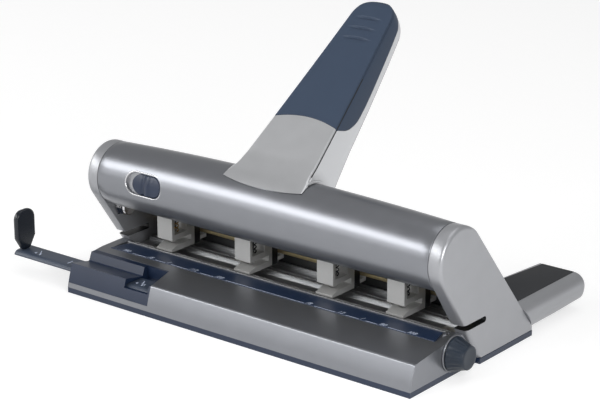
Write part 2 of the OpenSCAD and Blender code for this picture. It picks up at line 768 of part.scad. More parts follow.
module unit(k) {
    x = UNITS[k];
    top = jaw_low + jaw_t;
    color("#bcbcba") difference() {
        along_x(x - unit_w / 2, x + unit_w / 2) polygon([[jaw_tip, jaw_low], [unit_back, jaw_low],
            [unit_back, unit_top], [back_wall, unit_top], [back_wall, arm_top],
            [unit_front + wall_t, arm_top], [unit_front + wall_t, unit_top], [unit_front, unit_top],
            [unit_front, arm_low], [slot_deep, arm_low], [slot_deep, top],
            [jaw_tip + jaw_ramp * 2.8, top], [jaw_tip, top - jaw_ramp]]);
        translate([x, pin_y, jaw_low - over]) cylinder(d = pin_d + 2 * bore_run, h = arm_top);
    }
}
module carriage(k) {
    x = UNITS[k];
    color("#1d1f21") block([x - unit_w / 2, unit_back + fit, rail_floor + rib_h + run],
        [x + unit_w / 2, unit_back + carriage_t, carriage_top]);
}
module hook(k) {
    x = UNITS[k];
    y = unit_back + carriage_t + fit;
    color("#d8d8d4") along_x(x - unit_w / 2, x + unit_w / 2) polygon([[y, hook_low],
        [y + hook_t + over, hook_low], [y + hook_t + over, gbar_low + gbar_h / 2],
        [y + hook_t - over / 2, gbar_low + gbar_h / 2], [y + hook_t - over / 2, hook_low + hook_h],
        [y, hook_low + hook_h]]);
}
module pin(k) {
    color("#c4c7ca") translate([UNITS[k], pin_y, 0]) {
        translate([0, 0, pin_tip]) cylinder(d = pin_d, h = pin_top - pin_tip);
        translate([0, 0, pin_top - flange_t]) cylinder(d = flange_d, h = flange_t);
    }
}
// One unbroken wire through the points of a path, its rings turned about an axis
module wire(path, d, axis) {
    n = len(path);
    rings = [for (i = [0:n - 1]) let (
        t = path[min(i + 1, n - 1)] - path[max(i - 1, 0)],
        u = cross(t, axis) / norm(cross(t, axis)),
        v = cross(t, u) / norm(cross(t, u)))
        for (j = [0:spring_sides - 1]) path[i] + d / 2 * (cos(j * 360 / spring_sides) * u
            + sin(j * 360 / spring_sides) * v)];
    sides = [for (i = [0:n - 2], j = [0:spring_sides - 1]) let (
        a = i * spring_sides + j, b = i * spring_sides + (j + 1) % spring_sides)
        [a, b, b + spring_sides, a + spring_sides]];
    polyhedron(points = rings, faces = concat([[for (j = [spring_sides - 1:-1:0]) j]], sides,
        [[for (j = [0:spring_sides - 1]) (n - 1) * spring_sides + j]]), convexity = 8);
}
function coil_path(turns, r, z0, z1) = [for (i = [0:turns * spring_rings]) let (a = i * 360 / spring_rings)
    [r * cos(a), r * sin(a), z0 + (z1 - z0) * i / (turns * spring_rings)]];
// Least gap of a coil to itself, on its points
function coil_gap(path, d) = min([for (i = [0:len(path) - 1 - spring_rings])
    norm(path[i + spring_rings] - path[i])]) - d;
module pin_spring(k) {
    path = coil_path(4.25, coil_d / 2, arm_top + coil_wire / 2 + fit, pin_top - flange_t - coil_wire / 2 - fit);
    if (k == 0) echo(pin_spring_gap = coil_gap(path, coil_wire));
    color(k == 0 ? "#c9a25a" : "#4a4c4e") translate([UNITS[k], pin_y, 0]) wire(path, coil_wire, [0, 0, 1]);
}
module return_coils() {
    path = coil_path(4.5, stem_d / 2 + coil_wire * 1.5, lug_low + lug_h + coil_wire / 2 + fit,
        stem_top - flange_t - coil_wire / 2 - fit);
    echo(return_coil_gap = coil_gap(path, coil_wire));
    color("#b9bcc0") both() translate([stem_x, pin_y, 0]) wire(path, coil_wire, [0, 0, 1]);
}
module side_spring() {
    r = shaft_d * 0.7;
    path = coil_path(3, r, 0, shaft_d * 0.56);
    legs = concat([[r, -r * 0.7, 0]], path, [[r * 0.6, r * 1.5, shaft_d * 0.56]]);
    echo(side_spring_gap = coil_gap(path, coil_wire * 1.3));
    color("#c4c7ca") translate([coil_wire - cheek_in, shaft_d / 10, lip_z - shaft_d / 2]) rotate([0, 90, 0])
        wire(legs, coil_wire * 1.3, [0, 0, 1]);
}
module spring_stud() {
    y = shaft_d / 10;
    z = lip_z - shaft_d / 2;
    color("#c4c7ca") {
        rod_x(fit - cheek_in, shaft_d * 0.8 - cheek_in, y, z, shaft_d * 0.8);
        rod_x(shaft_d * 0.8 - cheek_in - fit, shaft_d - cheek_in, y, z, shaft_d * 1.3);
    }
}

// Side guide

module guide_housing() {
    y0 = -base_front + over / 5;
    x1 = guide_right - sheet;
    x0 = x1 - window_len;
    color("#26364a") difference() {
        intersection() {
            along_x(-base_half - over, guide_right) polygon(concat([[y0 + deck_set * 0.14, band_top + fit]],
                [for (t = [0.3, 0.5, 0.75, 0.97]) face_at(t) + [over / 5, 0]],
                [[y0 + deck_set * 1.4, deck_low - sheet / 4], [guide_step - sheet / 4, guide_flat],
                [guide_step + sheet / 4, guide_flat + sheet / 4], [guide_step + sheet, deck_low + sheet / 4],
                [guide_step + sheet * 1.5, deck_high - sheet * 0.6], [guide_rear, deck_high - sheet / 2],
                [guide_rear, band_top + fit]]));
            translate([0, 0, band_top]) linear_extrude(deck_high) guide_plan(0, 0);
        }
        block([-base_half * 2, grail_front - run, grail_low - run],
            [guide_right + over, grail_rear + run, grail_low + grail_h + run]);
        translate([0, 0, grail_low + sheet]) linear_extrude(deck_high) polygon([[x0, -base_front - over],
            [x0, grail_front - sheet], [x0 - window_lean, guide_rear - sheet],
            [x1 - window_lean - sheet, guide_rear - sheet], [x1, grail_front - sheet],
            [x1, -base_front - over]]);
    }
}
module guide_rail() {
    z = grail_low + grail_h;
    color("#5c6673") along_x(grail_left, grail_right) polygon([[grail_front, grail_low],
        [grail_rear, grail_low], [grail_rear, z], [grail_front + sheet * 2.2, z],
        [grail_front + sheet * 0.9, z - sheet * 0.35], [grail_front, z - sheet * 1.2]]);
}
module side_stop() {
    y = (grail_front + grail_rear) / 2;
    z0 = grail_low + grail_h + fit;
    r = stop_w * 0.38;
    color("#161d29") along_x(stop_left, stop_left + stop_t) {
        polygon([[y - stop_w * 0.2, z0], [y + stop_w * 0.2, z0], [y + stop_w / 2, z0 + r * 1.3],
            [y + stop_w / 2, stop_top - r], [y - stop_w / 2, stop_top - r], [y - stop_w / 2, z0 + r * 1.3]]);
        translate([y - stop_w / 2 + r, stop_top - r * 1.5]) square([stop_w - 2 * r, r * 1.5]);
        for (u = [-1, 1]) translate([y + u * (stop_w / 2 - r), stop_top - r]) circle(r = r);
    }
}

// Knob and margin stop

module knob_boss() {
    color("#a3a5a9") difference() {
        rod_x(base_half + fit, base_half + sheet * 0.8, knob_y, knob_z, 2 * knob_r + rib_w);
        rod_x(base_half - over, base_half + sheet * 2, knob_y, knob_z, spindle_d + 2 * bore_run);
    }
}
module depth_knob() {
    x = base_half + sheet * 0.8 + run;
    color("#26364a") difference() {
        union() {
            translate([x, knob_y, knob_z]) rotate([0, 90, 0])
                cylinder(r1 = knob_r, r2 = knob_tip_r, h = knob_len);
        }
        for (a = [0:30:330]) translate([x - over, knob_y, knob_z]) rotate([a, 0, 0])
            translate([0, knob_r + rib_w / 3, 0]) rotate([0, 90, 0])
                cylinder(r = rib_w, h = knob_len / 2, $fn = 16);
        rod_x(x - over, x + knob_len / 2, knob_y, knob_z, spindle_d + 2 * fit);
    }
}
module knob_spindle() {
    color("#b9bcc0")
        rod_x(foot_in - foot_w * 0.65, base_half + sheet + knob_len / 2, knob_y, knob_z, spindle_d);
}
module margin_nut() {
    x = foot_in + unit_w;
    color("#e0e0dc") difference() {
        block([x - unit_w / 3, knob_y - spindle_d, knob_z - spindle_d],
            [x + unit_w / 3, knob_y + spindle_d - run, knob_z + spindle_d]);
        rod_x(x - unit_w, x + unit_w, knob_y, knob_z, spindle_d + 2 * bore_run);
    }
}

// Rear feet

function foot_front(z) = (bar_r + (axis_z - z) * sin(slope_norm)) / cos(slope_norm) + fit * 2;
function foot_under(y) = pad_t * (1 + 2 * (y - slope_y) / foot_len);
module foot_form() {
    belly = (foot_top - foot_round - pad_t * 1.5);
    intersection() {
        along_x(foot_in - over, foot_out + over) polygon([[slope_y + fit, pad_t], [slope_y + fit, back_toe],
            [foot_front(foot_top), foot_top], [foot_back, foot_top], [foot_back, foot_under(foot_back)]]);
        translate([0, foot_back + over, 0]) rotate([90, 0, 0]) linear_extrude(foot_len + 2 * over)
            polygon(concat([[foot_in - over, 0], [foot_in - over, foot_top]],
                [for (a = [90:-10:0]) [foot_flat + foot_round * cos(a), foot_top - foot_round * (1 - sin(a))]],
                [for (a = [15:15:90]) [foot_flat + foot_round * cos(a),
                    foot_top - foot_round - belly * sin(a)]], [[foot_flat, 0]]));
        linear_extrude(foot_top * 2) polygon([[foot_in, base_back], [foot_in + foot_slant, foot_back],
            [foot_in + foot_slant, foot_back + over * 2], [foot_out + over, foot_back + over * 2],
            [foot_out + over, base_back - foot_len], [foot_in, base_back - foot_len]]);
    }
}
module foot() {
    difference() {
        foot_form();
        block([foot_in - over, 0, foot_top - sheet], [foot_flat - sheet / 4, foot_back + over, foot_top + over]);
    }
}
module foot_cap() {
    intersection() {
        foot_form();
        block([foot_in - over, 0, foot_top - sheet + fit],
            [foot_flat - sheet / 4 - fit, foot_back + over, foot_top + over]);
    }
}
module foot_right() {
    color("#a3a5a9") foot();
}
module foot_left() {
    color("#a3a5a9") mirror([1, 0, 0]) foot();
}
module foot_cap_right() {
    color("#4c4e50") foot_cap();
}
module foot_cap_left() {
    color("#4c4e50") mirror([1, 0, 0]) foot_cap();
}
module foot_pads() {
    y0 = foot_back - foot_w / 2;
    y1 = foot_back - sheet * 3;
    color("#141414") both() along_x(foot_in + foot_slant + sheet, foot_in + foot_w - sheet * 4)
        polygon([[y0, 0], [y1, 0], [y1, foot_under(y1) - fit], [y0, foot_under(y0) - fit]]);
}

base_tray();
base_frame();
front_cover();
scale_strip();
die_rail();
left_cheek();
right_cheek();
top_housing();
back_cover();
inner_panel();
guide_bar();
press_rods();
return_coils();
press_bar();
press_posts();
lever_shaft();
lever_arms();
cranks();
crank_rollers();
lever_shell();
lever_grip();
lever_bolts();
lock_bezel();
lock_slider();
guide_housing();
guide_rail();
side_stop();
knob_boss();
depth_knob();
knob_spindle();
margin_nut();
foot_left();
foot_right();
foot_cap_left();
foot_cap_right();
foot_pads();
rest_pads();
cover_screws();
unit(0);  // unit_1
unit(1);  // unit_2
unit(2);  // unit_3
unit(3);  // unit_4
carriage(0);  // carriage_1
carriage(1);  // carriage_2
carriage(2);  // carriage_3
carriage(3);  // carriage_4
hook(0);  // hook_1
hook(1);  // hook_2
hook(2);  // hook_3
hook(3);  // hook_4
pin(0);  // pin_1
pin(1);  // pin_2
pin(2);  // pin_3
pin(3);  // pin_4
pin_spring(0);  // pin_spring_1
pin_spring(1);  // pin_spring_2
pin_spring(2);  // pin_spring_3
pin_spring(3);  // pin_spring_4
side_spring();
spring_stud();
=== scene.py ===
"""Multi-hole punch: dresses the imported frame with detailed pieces, finishes, light and a camera.

All shapes are drawn in millimetres in the shared frame (X along the punch, Y to the back, Z up)
and turned into metres when a piece is finished.
"""

import logging
import math
from dataclasses import dataclass
from enum import Enum
from typing import Callable, Iterable, Sequence

import bmesh
import bpy
from mathutils import Matrix, Vector


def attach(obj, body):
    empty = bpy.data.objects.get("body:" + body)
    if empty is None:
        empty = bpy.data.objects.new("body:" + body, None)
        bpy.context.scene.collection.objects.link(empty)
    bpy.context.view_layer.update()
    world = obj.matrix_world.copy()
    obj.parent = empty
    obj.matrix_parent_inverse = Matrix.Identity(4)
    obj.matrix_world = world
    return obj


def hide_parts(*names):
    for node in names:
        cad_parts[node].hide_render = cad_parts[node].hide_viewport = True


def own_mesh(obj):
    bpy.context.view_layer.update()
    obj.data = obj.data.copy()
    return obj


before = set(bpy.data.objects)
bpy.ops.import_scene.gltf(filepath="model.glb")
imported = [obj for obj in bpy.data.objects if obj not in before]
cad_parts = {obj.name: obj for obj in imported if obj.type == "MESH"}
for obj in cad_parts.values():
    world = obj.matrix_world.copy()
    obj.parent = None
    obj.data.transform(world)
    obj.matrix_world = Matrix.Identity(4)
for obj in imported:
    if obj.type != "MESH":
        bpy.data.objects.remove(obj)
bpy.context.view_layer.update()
LOG = logging.getLogger("punch")
Point = Sequence[float]
RimPoint = tuple[float, float, float, float, float]


def smooth_step(low: float, high: float, value: float) -> float:
    """Eased share from 0 to 1 as the value goes from low to high."""
    t = min(max((value - low) / (high - low), 0.0), 1.0)
    return t * t * (3.0 - 2.0 * t)


def along(table: Sequence[Point], place: float) -> float:
    """Reads a table of (place, value) pairs with straight lines between them.

    Args:
        table: Pairs in rising order of place.
        place: The place to read at.

    Returns:
        The value there, held level past both ends.
    """
    if place <= table[0][0]:
        return table[0][1]
    for (a, u), (b, v) in zip(table, table[1:]):
        if place <= b:
            return u + (v - u) * (place - a) / (b - a)
    return table[-1][1]


class Side(Enum):
    """The two ends of the punch, with the sign of their X."""

    LEFT = -1
    RIGHT = 1

    @property
    def word(self) -> str:
        """The side's word in the names of pieces."""
        return self.name.lower()


@dataclass(frozen=True)
class Finish:
    """A surface finish: its colour, gloss and the fine unevenness that breaks it up."""

    name: str
    colour: tuple[float, float, float]
    roughness: float
    metallic: float = 0.0
    specular: float = 0.5
    coat: float = 0.0
    coat_roughness: float = 0.2
    mottle: float = 0.04
    mottle_scale: float = 90.0
    grain: float = 0.02
    grain_scale: float = 2600.0
    stretch: tuple[float, float, float] = (1.0, 1.0, 1.0)
    rough_spread: float = 0.04

    @staticmethod
    def linear(value: float) -> float:
        """Turns a colour share as seen on a screen into light."""
        return value / 12.92 if value <= 0.04045 else ((value + 0.055) / 1.055) ** 2.4

    @staticmethod
    def cloud_group() -> bpy.types.NodeTree:
        """Builds the group for slight changes of colour and gloss, once.

        Returns:
            The group, which gives a soft cloudy share round 0.5.
        """
        group = bpy.data.node_groups.get("soft_cloud")
        if group:
            return group
        group = bpy.data.node_groups.new("soft_cloud", "ShaderNodeTree")
        group.interface.new_socket("Vector", in_out="INPUT", socket_type="NodeSocketVector")
        group.interface.new_socket("Scale", in_out="INPUT", socket_type="NodeSocketFloat")
        group.interface.new_socket("Share", in_out="OUTPUT", socket_type="NodeSocketFloat")
        start, end = group.nodes.new("NodeGroupInput"), group.nodes.new("NodeGroupOutput")
        noise = group.nodes.new("ShaderNodeTexNoise")
        noise.inputs["Detail"].default_value = 3.0
        group.links.new(start.outputs["Vector"], noise.inputs["Vector"])
        group.links.new(start.outputs["Scale"], noise.inputs["Scale"])
        group.links.new(noise.outputs["Fac"], end.inputs["Share"])
        return group

    @staticmethod
    def grain_group() -> bpy.types.NodeTree:
        """Builds the group for fine grain, once.

        Returns:
            The group, which gives the normal of a grain of a set depth.
        """
        group = bpy.data.node_groups.get("fine_grain")
        if group:
            return group
        group = bpy.data.node_groups.new("fine_grain", "ShaderNodeTree")
        group.interface.new_socket("Vector", in_out="INPUT", socket_type="NodeSocketVector")
        group.interface.new_socket("Scale", in_out="INPUT", socket_type="NodeSocketFloat")
        group.interface.new_socket("Depth", in_out="INPUT", socket_type="NodeSocketFloat")
        group.interface.new_socket("Normal", in_out="OUTPUT", socket_type="NodeSocketVector")
        start, end = group.nodes.new("NodeGroupInput"), group.nodes.new("NodeGroupOutput")
        noise = group.nodes.new("ShaderNodeTexNoise")
        noise.inputs["Detail"].default_value = 2.0
        bump = group.nodes.new("ShaderNodeBump")
        bump.inputs["Strength"].default_value = 1.0
        group.links.new(start.outputs["Vector"], noise.inputs["Vector"])
        group.links.new(start.outputs["Scale"], noise.inputs["Scale"])
        group.links.new(noise.outputs["Fac"], bump.inputs["Height"])
        group.links.new(start.outputs["Depth"], bump.inputs["Distance"])
        group.links.new(bump.outputs["Normal"], end.inputs["Normal"])
        return group

    def material(self) -> bpy.types.Material:
        """Builds the node material once and returns it.

        Returns:
            The material of this finish.
        """
        ready = bpy.data.materials.get(self.name)
        if ready:
            return ready
        mat = bpy.data.materials.new(self.name)
        mat.use_nodes = True
        nodes, links = mat.node_tree.nodes, mat.node_tree.links
        shader = nodes["Principled BSDF"]
        place = nodes.new("ShaderNodeTexCoord")
        turn = nodes.new("ShaderNodeMapping")
        turn.inputs["Scale"].default_value = self.stretch
        links.new(place.outputs["Object"], turn.inputs["Vector"])
        cloud = nodes.new("ShaderNodeGroup")
        cloud.node_tree = self.cloud_group()
        cloud.inputs["Scale"].default_value = self.mottle_scale
        links.new(turn.outputs["Vector"], cloud.inputs["Vector"])
        ramp = nodes.new("ShaderNodeMix")
        ramp.data_type = "RGBA"
        base = [self.linear(c) for c in self.colour]
        ramp.inputs["A"].default_value = [c * (1 - self.mottle) for c in base] + [1]
        ramp.inputs["B"].default_value = [min(c * (1 + self.mottle), 1) for c in base] + [1]
        links.new(cloud.outputs["Share"], ramp.inputs["Factor"])
        links.new(ramp.outputs["Result"], shader.inputs["Base Color"])
        gloss = nodes.new("ShaderNodeMapRange")
        gloss.inputs["To Min"].default_value = max(self.roughness - self.rough_spread, 0.02)
        gloss.inputs["To Max"].default_value = self.roughness + self.rough_spread
        links.new(cloud.outputs["Share"], gloss.inputs["Value"])
        links.new(gloss.outputs["Result"], shader.inputs["Roughness"])
        grain = nodes.new("ShaderNodeGroup")
        grain.node_tree = self.grain_group()
        grain.inputs["Scale"].default_value = self.grain_scale
        grain.inputs["Depth"].default_value = self.grain * 0.001
        links.new(turn.outputs["Vector"], grain.inputs["Vector"])
        links.new(grain.outputs["Normal"], shader.inputs["Normal"])
        shader.inputs["Metallic"].default_value = self.metallic
        shader.inputs["Specular IOR Level"].default_value = self.specular
        shader.inputs["Coat Weight"].default_value = self.coat
        shader.inputs["Coat Roughness"].default_value = self.coat_roughness
        return mat


@dataclass(frozen=True)
class Paintwork:
    """All finishes of the punch."""

    silver: Finish = Finish("silver_lacquer", (0.525, 0.533, 0.553), 0.30, 0.74, mottle=0.03, grain=0.004)
    lever_silver: Finish = Finish("lever_lacquer", (0.83, 0.835, 0.845), 0.40, 0.85, mottle=0.03, grain=0.006)
    cast: Finish = Finish("cast_silver", (0.64, 0.645, 0.66), 0.36, 0.55, mottle=0.06, mottle_scale=60.0,
                          grain=0.01)
    navy: Finish = Finish("navy_plastic", (0.10, 0.155, 0.25), 0.34, mottle=0.06, grain=0.004)
    navy_deep: Finish = Finish("navy_deep", (0.075, 0.125, 0.18), 0.42, mottle=0.05, grain=0.004)
    navy_strip: Finish = Finish("navy_strip", (0.13, 0.19, 0.29), 0.42, mottle=0.05, grain=0.004)
    grip: Finish = Finish("soft_grip", (0.225, 0.275, 0.35), 0.5, specular=0.25, mottle=0.06, grain=0.02,
                          grain_scale=3200.0)
    paddle: Finish = Finish("stop_plastic", (0.075, 0.10, 0.14), 0.25, mottle=0.05, grain=0.002)
    unit: Finish = Finish("unit_zinc", (0.74, 0.74, 0.735), 0.38, 0.4, mottle=0.05, grain=0.006)
    # Black plastic of the carriages; also black paint as painted shade in the cheeks' paper slots and the
    # lever's groove and rear seam.
    black: Finish = Finish("black_plastic_and_painted_shade", (0.09, 0.095, 0.10), 0.4, mottle=0.05, grain=0.004)
    rail: Finish = Finish("rail_steel", (0.66, 0.665, 0.67), 0.3, 0.9, mottle=0.05, grain=0.004,
                          stretch=(0.05, 1.0, 1.0))
    steel: Finish = Finish("plain_steel", (0.55, 0.56, 0.57), 0.38, 0.9, mottle=0.08, grain=0.006)
    bright: Finish = Finish("bright_rim", (0.78, 0.78, 0.79), 0.22, 0.8, mottle=0.02, grain=0.001)
    chrome: Finish = Finish("bright_chrome", (0.82, 0.82, 0.83), 0.14, 1.0, mottle=0.02, grain=0.001)
    dark_wire: Finish = Finish("dark_wire", (0.26, 0.26, 0.27), 0.3, 0.9, mottle=0.05, grain=0.002)
    brassy: Finish = Finish("brassy_wire", (0.80, 0.65, 0.38), 0.25, 0.95, mottle=0.05, grain=0.002)
    yellow: Finish = Finish("yellow_zinc", (0.76, 0.70, 0.54), 0.34, 0.8, mottle=0.1, mottle_scale=160.0,
                            grain=0.004)
    guide_grey: Finish = Finish("guide_plastic", (0.25, 0.285, 0.345), 0.34, mottle=0.05, grain=0.004)
    tab_white: Finish = Finish("pale_plastic", (0.84, 0.84, 0.83), 0.4, mottle=0.03, grain=0.003)
    foot_top: Finish = Finish("foot_grained", (0.235, 0.24, 0.25), 0.65, specular=0.15, mottle=0.06,
                              grain=0.03, grain_scale=1800.0)
    rubber: Finish = Finish("rubber_pad", (0.06, 0.06, 0.06), 0.75, specular=0.3, mottle=0.06, grain=0.03)
    panel: Finish = Finish("dark_panel", (0.36, 0.365, 0.37), 0.42, 0.6, mottle=0.08, grain=0.006)
    print: Finish = Finish("pale_print", (0.78, 0.82, 0.90), 0.5, mottle=0.04, grain=0.001)


PAINT = Paintwork()


class Bench:
    """Makes, cuts, rounds and finishes meshes in millimetres."""

    UNIT = 0.001
    WELD = 1e-3

    @staticmethod
    def loft(rings: Sequence[Sequence[Vector]], closed: bool = True, caps: bool = True) -> bmesh.types.BMesh:
        """Draws a ring of points on through all the following rings.

        Args:
            rings: Rings with the same number of points.
            closed: True if each ring closes on itself.
            caps: True if the two open ends are filled.

        Returns:
            The mesh, with the layers "row" and "slot" that number its points.
        """
        bm = bmesh.new()
        row, slot = bm.verts.layers.int.new("row"), bm.verts.layers.int.new("slot")
        verts = [bm.verts.new(p) for p in rings[0]]
        for i, v in enumerate(verts):
            v[slot] = i
        pairs = list(zip(verts, verts[1:])) + ([(verts[-1], verts[0])] if closed else [])
        edges = [bm.edges.new(pair) for pair in pairs]
        for k, ring in enumerate(rings[1:], 1):
            grown = bmesh.ops.extrude_edge_only(bm, edges=edges)["geom"]
            fresh = {g for g in grown if isinstance(g, bmesh.types.BMVert)}
            edges = [g for g in grown if isinstance(g, bmesh.types.BMEdge)
                     and g.verts[0] in fresh and g.verts[1] in fresh]
            for v in fresh:
                v.co = ring[v[slot]]
                v[row] = k
        if caps:
            bmesh.ops.holes_fill(bm, edges=bm.edges[:], sides=0)
        bmesh.ops.remove_doubles(bm, verts=bm.verts[:], dist=Bench.WELD / 10)
        bmesh.ops.recalc_face_normals(bm, faces=bm.faces[:])
        return bm

    @staticmethod
    def prism(outline: Sequence[Point], lift: Point) -> bmesh.types.BMesh:
        """Draws a flat outline out along a vector.

        Args:
            outline: Points of the outline in space.
            lift: How far and which way it is drawn out.

        Returns:
            The closed mesh.
        """
        bm = bmesh.new()
        face = bm.faces.new([bm.verts.new(p) for p in outline])
        grown = bmesh.ops.extrude_face_region(bm, geom=[face])["geom"]
        bmesh.ops.translate(bm, vec=lift, verts=[g for g in grown if isinstance(g, bmesh.types.BMVert)])
        bmesh.ops.recalc_face_normals(bm, faces=bm.faces[:])
        return bm

    @staticmethod
    def soften(bm: bmesh.types.BMesh, width: float, segments: int = 2, degrees: float = 25.0,
               where: Callable[[bmesh.types.BMEdge], bool] = lambda edge: True) -> bmesh.types.BMesh:
        """Rounds the sharp edges of a mesh.

        Args:
            bm: The mesh.
            width: Width of the rounding.
            segments: Number of steps over the rounding.
            degrees: Edges that turn by more than this are sharp.
            where: Picks the edges that are rounded.

        Returns:
            The same mesh.
        """
        turn = math.radians(degrees)
        sharp = [e for e in bm.edges if e.is_manifold and e.calc_face_angle(0.0) > turn and where(e)]
        bmesh.ops.bevel(bm, geom=sharp, offset=width, offset_type="OFFSET", segments=segments, profile=0.5,
                        affect="EDGES", clamp_overlap=True, material=-1)
        return bm

    @staticmethod
    def copy_node(name: str) -> bmesh.types.BMesh:
        """Copies a CAD node's mesh, with its triangles joined and flat faces made one.

        Args:
            name: Name of the node.

        Returns:
            The copy.
        """
        bm = bmesh.new()
        bm.from_mesh(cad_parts[name].data)
        bmesh.ops.scale(bm, vec=(1 / Bench.UNIT,) * 3, verts=bm.verts[:])
        bmesh.ops.remove_doubles(bm, verts=bm.verts[:], dist=Bench.WELD)
        bmesh.ops.dissolve_limit(bm, angle_limit=math.radians(0.6), verts=bm.verts[:], edges=bm.edges[:])
        return bm

    @staticmethod
    def carve(bm: bmesh.types.BMesh, tool: bmesh.types.BMesh) -> bmesh.types.BMesh:
        """Takes one mesh away from another.

        Args:
            bm: The mesh that is cut. It is used up.
            tool: The cutting mesh. It is used up.

        Returns:
            The cut mesh.
        """
        made = []
        for source in (bm, tool):
            mesh = bpy.data.meshes.new("carve")
            source.to_mesh(mesh)
            source.free()
            made.append(bpy.data.objects.new("carve", mesh))
            bpy.context.scene.collection.objects.link(made[-1])
        cut = made[0].modifiers.new("cut", "BOOLEAN")
        cut.operation, cut.solver, cut.object = "DIFFERENCE", "EXACT", made[1]
        result = bpy.data.meshes.new_from_object(made[0].evaluated_get(bpy.context.evaluated_depsgraph_get()))
        out = bmesh.new()
        out.from_mesh(result)
        for thing in made:
            bpy.data.meshes.remove(thing.data)
        bpy.data.meshes.remove(result)
        return out

    @staticmethod
    def join(parts: Sequence[bmesh.types.BMesh]) -> bmesh.types.BMesh:
        """Puts several meshes into one.

        Args:
            parts: The meshes. All but the first are used up.

        Returns:
            The first mesh, with all others in it.
        """
        whole = parts[0]
        for part in parts[1:]:
            mesh = bpy.data.meshes.new("join")
            part.to_mesh(mesh)
            part.free()
            whole.from_mesh(mesh)
            bpy.data.meshes.remove(mesh)
        return whole

    @staticmethod
    def mirror(bm: bmesh.types.BMesh) -> bmesh.types.BMesh:
        """Turns a piece of the right end into the same piece of the left end.

        Args:
            bm: The mesh.

        Returns:
            The same mesh.
        """
        bmesh.ops.scale(bm, vec=(-1, 1, 1), verts=bm.verts[:])
        bmesh.ops.reverse_faces(bm, faces=bm.faces[:])
        return bm

    @staticmethod
    def finish(bm: bmesh.types.BMesh, name: str, paint: Finish, body: str, slot: str,
               replaces: Iterable[str] = (), degrees: float = 32.0, flat: bool = False,
               inner: Callable[[bmesh.types.BMFace], bool] | None = None) -> bpy.types.Object:
        """Turns a mesh into a piece that rides on a body.

        Args:
            bm: The mesh in millimetres. It is used up.
            name: Name of the piece.
            paint: Its finish.
            body: The body it moves with.
            slot: The record's material slot; not used.
            replaces: CAD nodes that it stands for.
            degrees: Edges that turn by more than this stay sharp in the shading.
            flat: True if large flat faces keep their own shading beside rounded edges.
            inner: Picks the faces, in metres, that get black paint as painted shade in hollows.

        Returns:
            The piece.
        """
        bmesh.ops.scale(bm, vec=(Bench.UNIT,) * 3, verts=bm.verts[:])
        # Faces picked by inner get the second material: black paint as painted shade.
        for face in bm.faces:
            face.material_index = int(bool(inner and inner(face)))
        mesh = bpy.data.meshes.new(name)
        bm.to_mesh(mesh)
        bm.free()
        mesh.shade_smooth()
        mesh.set_sharp_from_angle(angle=math.radians(degrees))
        mesh.materials.append(paint.material())
        # Painted shade: black paint for the picked faces in slots and seams.
        if inner:
            mesh.materials.append(PAINT.black.material())
        piece = bpy.data.objects.new(name, mesh)
        bpy.context.scene.collection.objects.link(piece)
        if flat:
            even = piece.modifiers.new("flat_faces", "WEIGHTED_NORMAL")
            even.keep_sharp, even.weight = True, 100
        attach(piece, body)
        if replaces:
            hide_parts(*replaces)
        LOG.info("%s: %d faces on %s", name, len(mesh.polygons), body)
        return piece


@dataclass
class Base:
    """Sizes that several sub-assemblies share."""

    half: float = 164.9
    back: float = 96.8
    throat: float = 157.5
    cheek_out: float = 168.8
    axis_z: float = 86.9
    bar_r: float = 25.0
    bulge: float = 2.0
    lip_z: float = 65.0
    tray_h: float = 4.3
    toe_y: float = 27.0
    slope_y: float = 97.1
    slope_z: float = 7.4

    def swell(self, x: float) -> float:
        """Extra radius of the bar at a place along it."""
        return self.bulge * (1.0 - (x / self.throat) ** 2)

    @property
    def slope_norm(self) -> float:
        """Angle of the outward normal of the sloping back."""
        return (math.atan2(self.slope_z - self.axis_z, self.slope_y)
                + math.acos(self.bar_r / math.hypot(self.slope_y, self.axis_z - self.slope_z)))

    @property
    def toe_norm(self) -> float:
        """Angle of the outward normal of a cheek's front edge.

        Returns:
            The angle, past the top, so that it falls on the way round to the back.
        """
        turn = (math.atan2(self.tray_h - self.axis_z, self.toe_y)
                - math.acos(self.bar_r / math.hypot(self.toe_y, self.axis_z - self.tray_h)))
        return turn + 2 * math.pi

    def slope_at(self, y: float) -> float:
        """Height of the sloping back at a place behind the bar."""
        return self.axis_z + (self.bar_r - y * math.cos(self.slope_norm)) / math.sin(self.slope_norm)

    def toe_at(self, z: float) -> float:
        """Place of the cheek's front edge at a height."""
        return (self.bar_r - (z - self.axis_z) * math.sin(self.toe_norm)) / math.cos(self.toe_norm)


